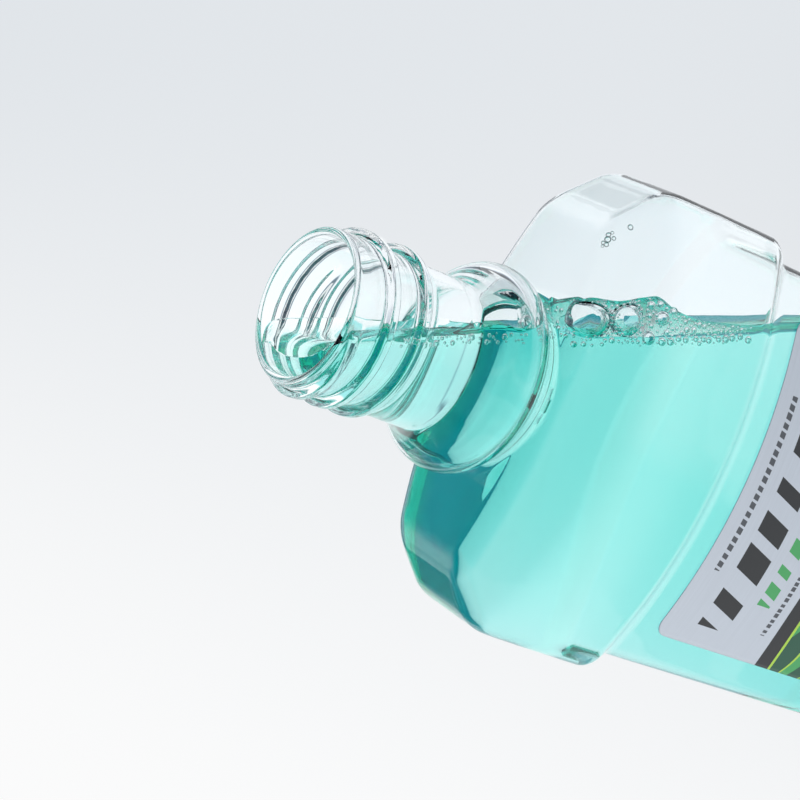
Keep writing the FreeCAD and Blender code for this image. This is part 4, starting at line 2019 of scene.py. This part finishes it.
@dataclass
class Studio:
    """Pale floor, soft light and the camera.

    What the glass shows of the surroundings falls off towards the sides, the front and overhead.
    """

    floor_size: float = 6.0
    side_fall: tuple[float, float, float] = (0.7, 0.92, 0.16)
    overhead_fall: tuple[float, float, float] = (0.35, 0.7, 0.18)
    front_fall: tuple[float, float, float] = (-0.15, -0.6, 0.22)
    dim_colour: str = "#86abd2"
    bright_colour: str = "#f4f6f8"
    light_colour: str = "#eef1f4"
    light: float = 0.8
    camera_place: tuple[float, float, float] = (0.0262, -0.3332, 0.4322)
    camera_up: tuple[float, float, float] = (0.909, 0.308, 0.281)
    camera_view: tuple[float, float, float] = (-0.087, 0.799, -0.595)
    lens: float = 101.17
    bounces: int = 32
    glossy_bounces: int = 16

    def camera(self) -> None:
        """Camera at the photograph's viewing angle."""
        data = bpy.data.cameras.new("camera")
        data.lens = self.lens
        camera = bpy.data.objects.new("camera", data)
        view = np.array(self.camera_view) / np.linalg.norm(self.camera_view)
        right = np.cross(view, self.camera_up)
        right /= np.linalg.norm(right)
        matrix = np.identity(4)
        matrix[:3] = np.column_stack([right, np.cross(right, view), -view, self.camera_place])
        camera.matrix_world = Matrix(matrix.tolist())
        bpy.context.scene.collection.objects.link(camera)
        bpy.context.scene.camera = camera

    def floor(self) -> None:
        """Wide square floor."""
        half = self.floor_size / 2 / MM
        points = np.array([(-half, -half, 0), (half, -half, 0), (half, half, 0), (-half, half, 0)])
        floor = mesh_piece("floor", points, [(0, 1, 2, 3)], False)
        floor.data.materials.append(PaleFloor().material())

    def world(self) -> None:
        """White surroundings that the glass shows, dimmer overhead, at the sides and in front."""
        world = bpy.data.worlds.new("studio")
        world.use_nodes = True
        world.node_tree.nodes.clear()
        node = partial(add_node, world.node_tree)
        way = node("ShaderNodeTexCoord").node.outputs["Generated"]
        height = node("ShaderNodeSeparateXYZ", way).node.outputs["Z"]
        level = node("ShaderNodeVectorMath", way, (1.0, 1.0, 0.0), operation="MULTIPLY")
        level = node("ShaderNodeVectorMath", level, operation="NORMALIZE")
        x, y, _ = node("ShaderNodeSeparateXYZ", level).node.outputs
        aside = node(MATH, x, operation="ABSOLUTE")
        bright = falls(node, (aside, *self.side_fall), (height, *self.overhead_fall),
                       (y, *self.front_fall))
        tint = node(MIX, bright, linear(self.dim_colour), linear(self.bright_colour), **COLOURS)
        light = node("ShaderNodeBackground", {"Color": linear(self.light_colour),
                                              "Strength": self.light})
        shown = node("ShaderNodeBackground", {"Color": tint, "Strength": bright})
        mix = node("ShaderNodeMixShader", seen(node), light, shown)
        node("ShaderNodeOutputWorld", {"Surface": mix})
        bpy.context.scene.world = world

    def lamps(self) -> None:
        """Two large soft lamps."""
        for name, place, turn, size, power in (
                ("key", (-0.7, -0.6, 0.9), (0.75, 0.0, -0.86), 0.6, 6.0),
                ("fill", (0.9, 0.4, 0.8), (-0.3, 0.85, 0.0), 0.8, 4.0)):
            data = bpy.data.lights.new(name, "AREA")
            data.size = size
            data.energy = power
            lamp = bpy.data.objects.new(name, data)
            lamp.visible_glossy = lamp.visible_transmission = False
            lamp.location = place
            lamp.rotation_euler = turn
            bpy.context.scene.collection.objects.link(lamp)

    def build(self) -> None:
        """Builds the surroundings."""
        bpy.context.scene.view_settings.view_transform = "Standard"
        bpy.context.scene.cycles.max_bounces = self.bounces
        bpy.context.scene.cycles.transmission_bounces = self.bounces
        bpy.context.scene.cycles.glossy_bounces = self.glossy_bounces
        self.camera()
        self.floor()
        self.world()
        self.lamps()


def main() -> None:
    """Builds the bottle, its contents and its surroundings."""
    logging.basicConfig(level=logging.INFO, format="%(name)s: %(message)s")
    shape = BottleShape()
    finish_piece(shape.shell(), ClearPet().material(), Body.BOTTLE, Slot.PET, "bottle")
    dyed = TealLiquid().material()
    liquid = Liquid(shape)
    mouthwash = liquid.build()
    Foam(liquid).add_to(mouthwash, dyed)
    finish_piece(mouthwash, dyed, Body.BOTTLE, Slot.LIQUID, "mouthwash")
    label = Label(shape)
    finish_piece(label.build(), PrintedFilm().material(), Body.BOTTLE, Slot.LABEL, "front_label")
    finish_piece(label.back(), LabelBackWithPaintedLight().material(), Body.BOTTLE, Slot.LABEL)
    plastic = MouldedPlastic("white_moulded_polypropylene", "#e9ecee", "#dfe3e6", roughness=0.3,
                             grain=2.4, depth=0.02, inner=0.08).material()
    foam = MouldedPlastic("closed_cell_liner_foam", "#f4f4f0", "#e4e5e0", roughness=0.6,
                          grain=5.2, depth=0.08, inner=0.15).material()
    cap = CapShape()
    finish_piece(cap.cup(), plastic, Body.CAP, Slot.CAP, "cap")
    finish_piece(cap.ribs(plastic), plastic, Body.CAP, Slot.CAP)
    finish_piece(cap.thread(), plastic, Body.CAP, Slot.CAP)
    finish_piece(cap.liner(), foam, Body.CAP, Slot.LINER, "cap_liner")
    Studio().build()
    bpy.context.view_layer.update()


if __name__ == "__main__":
    main()
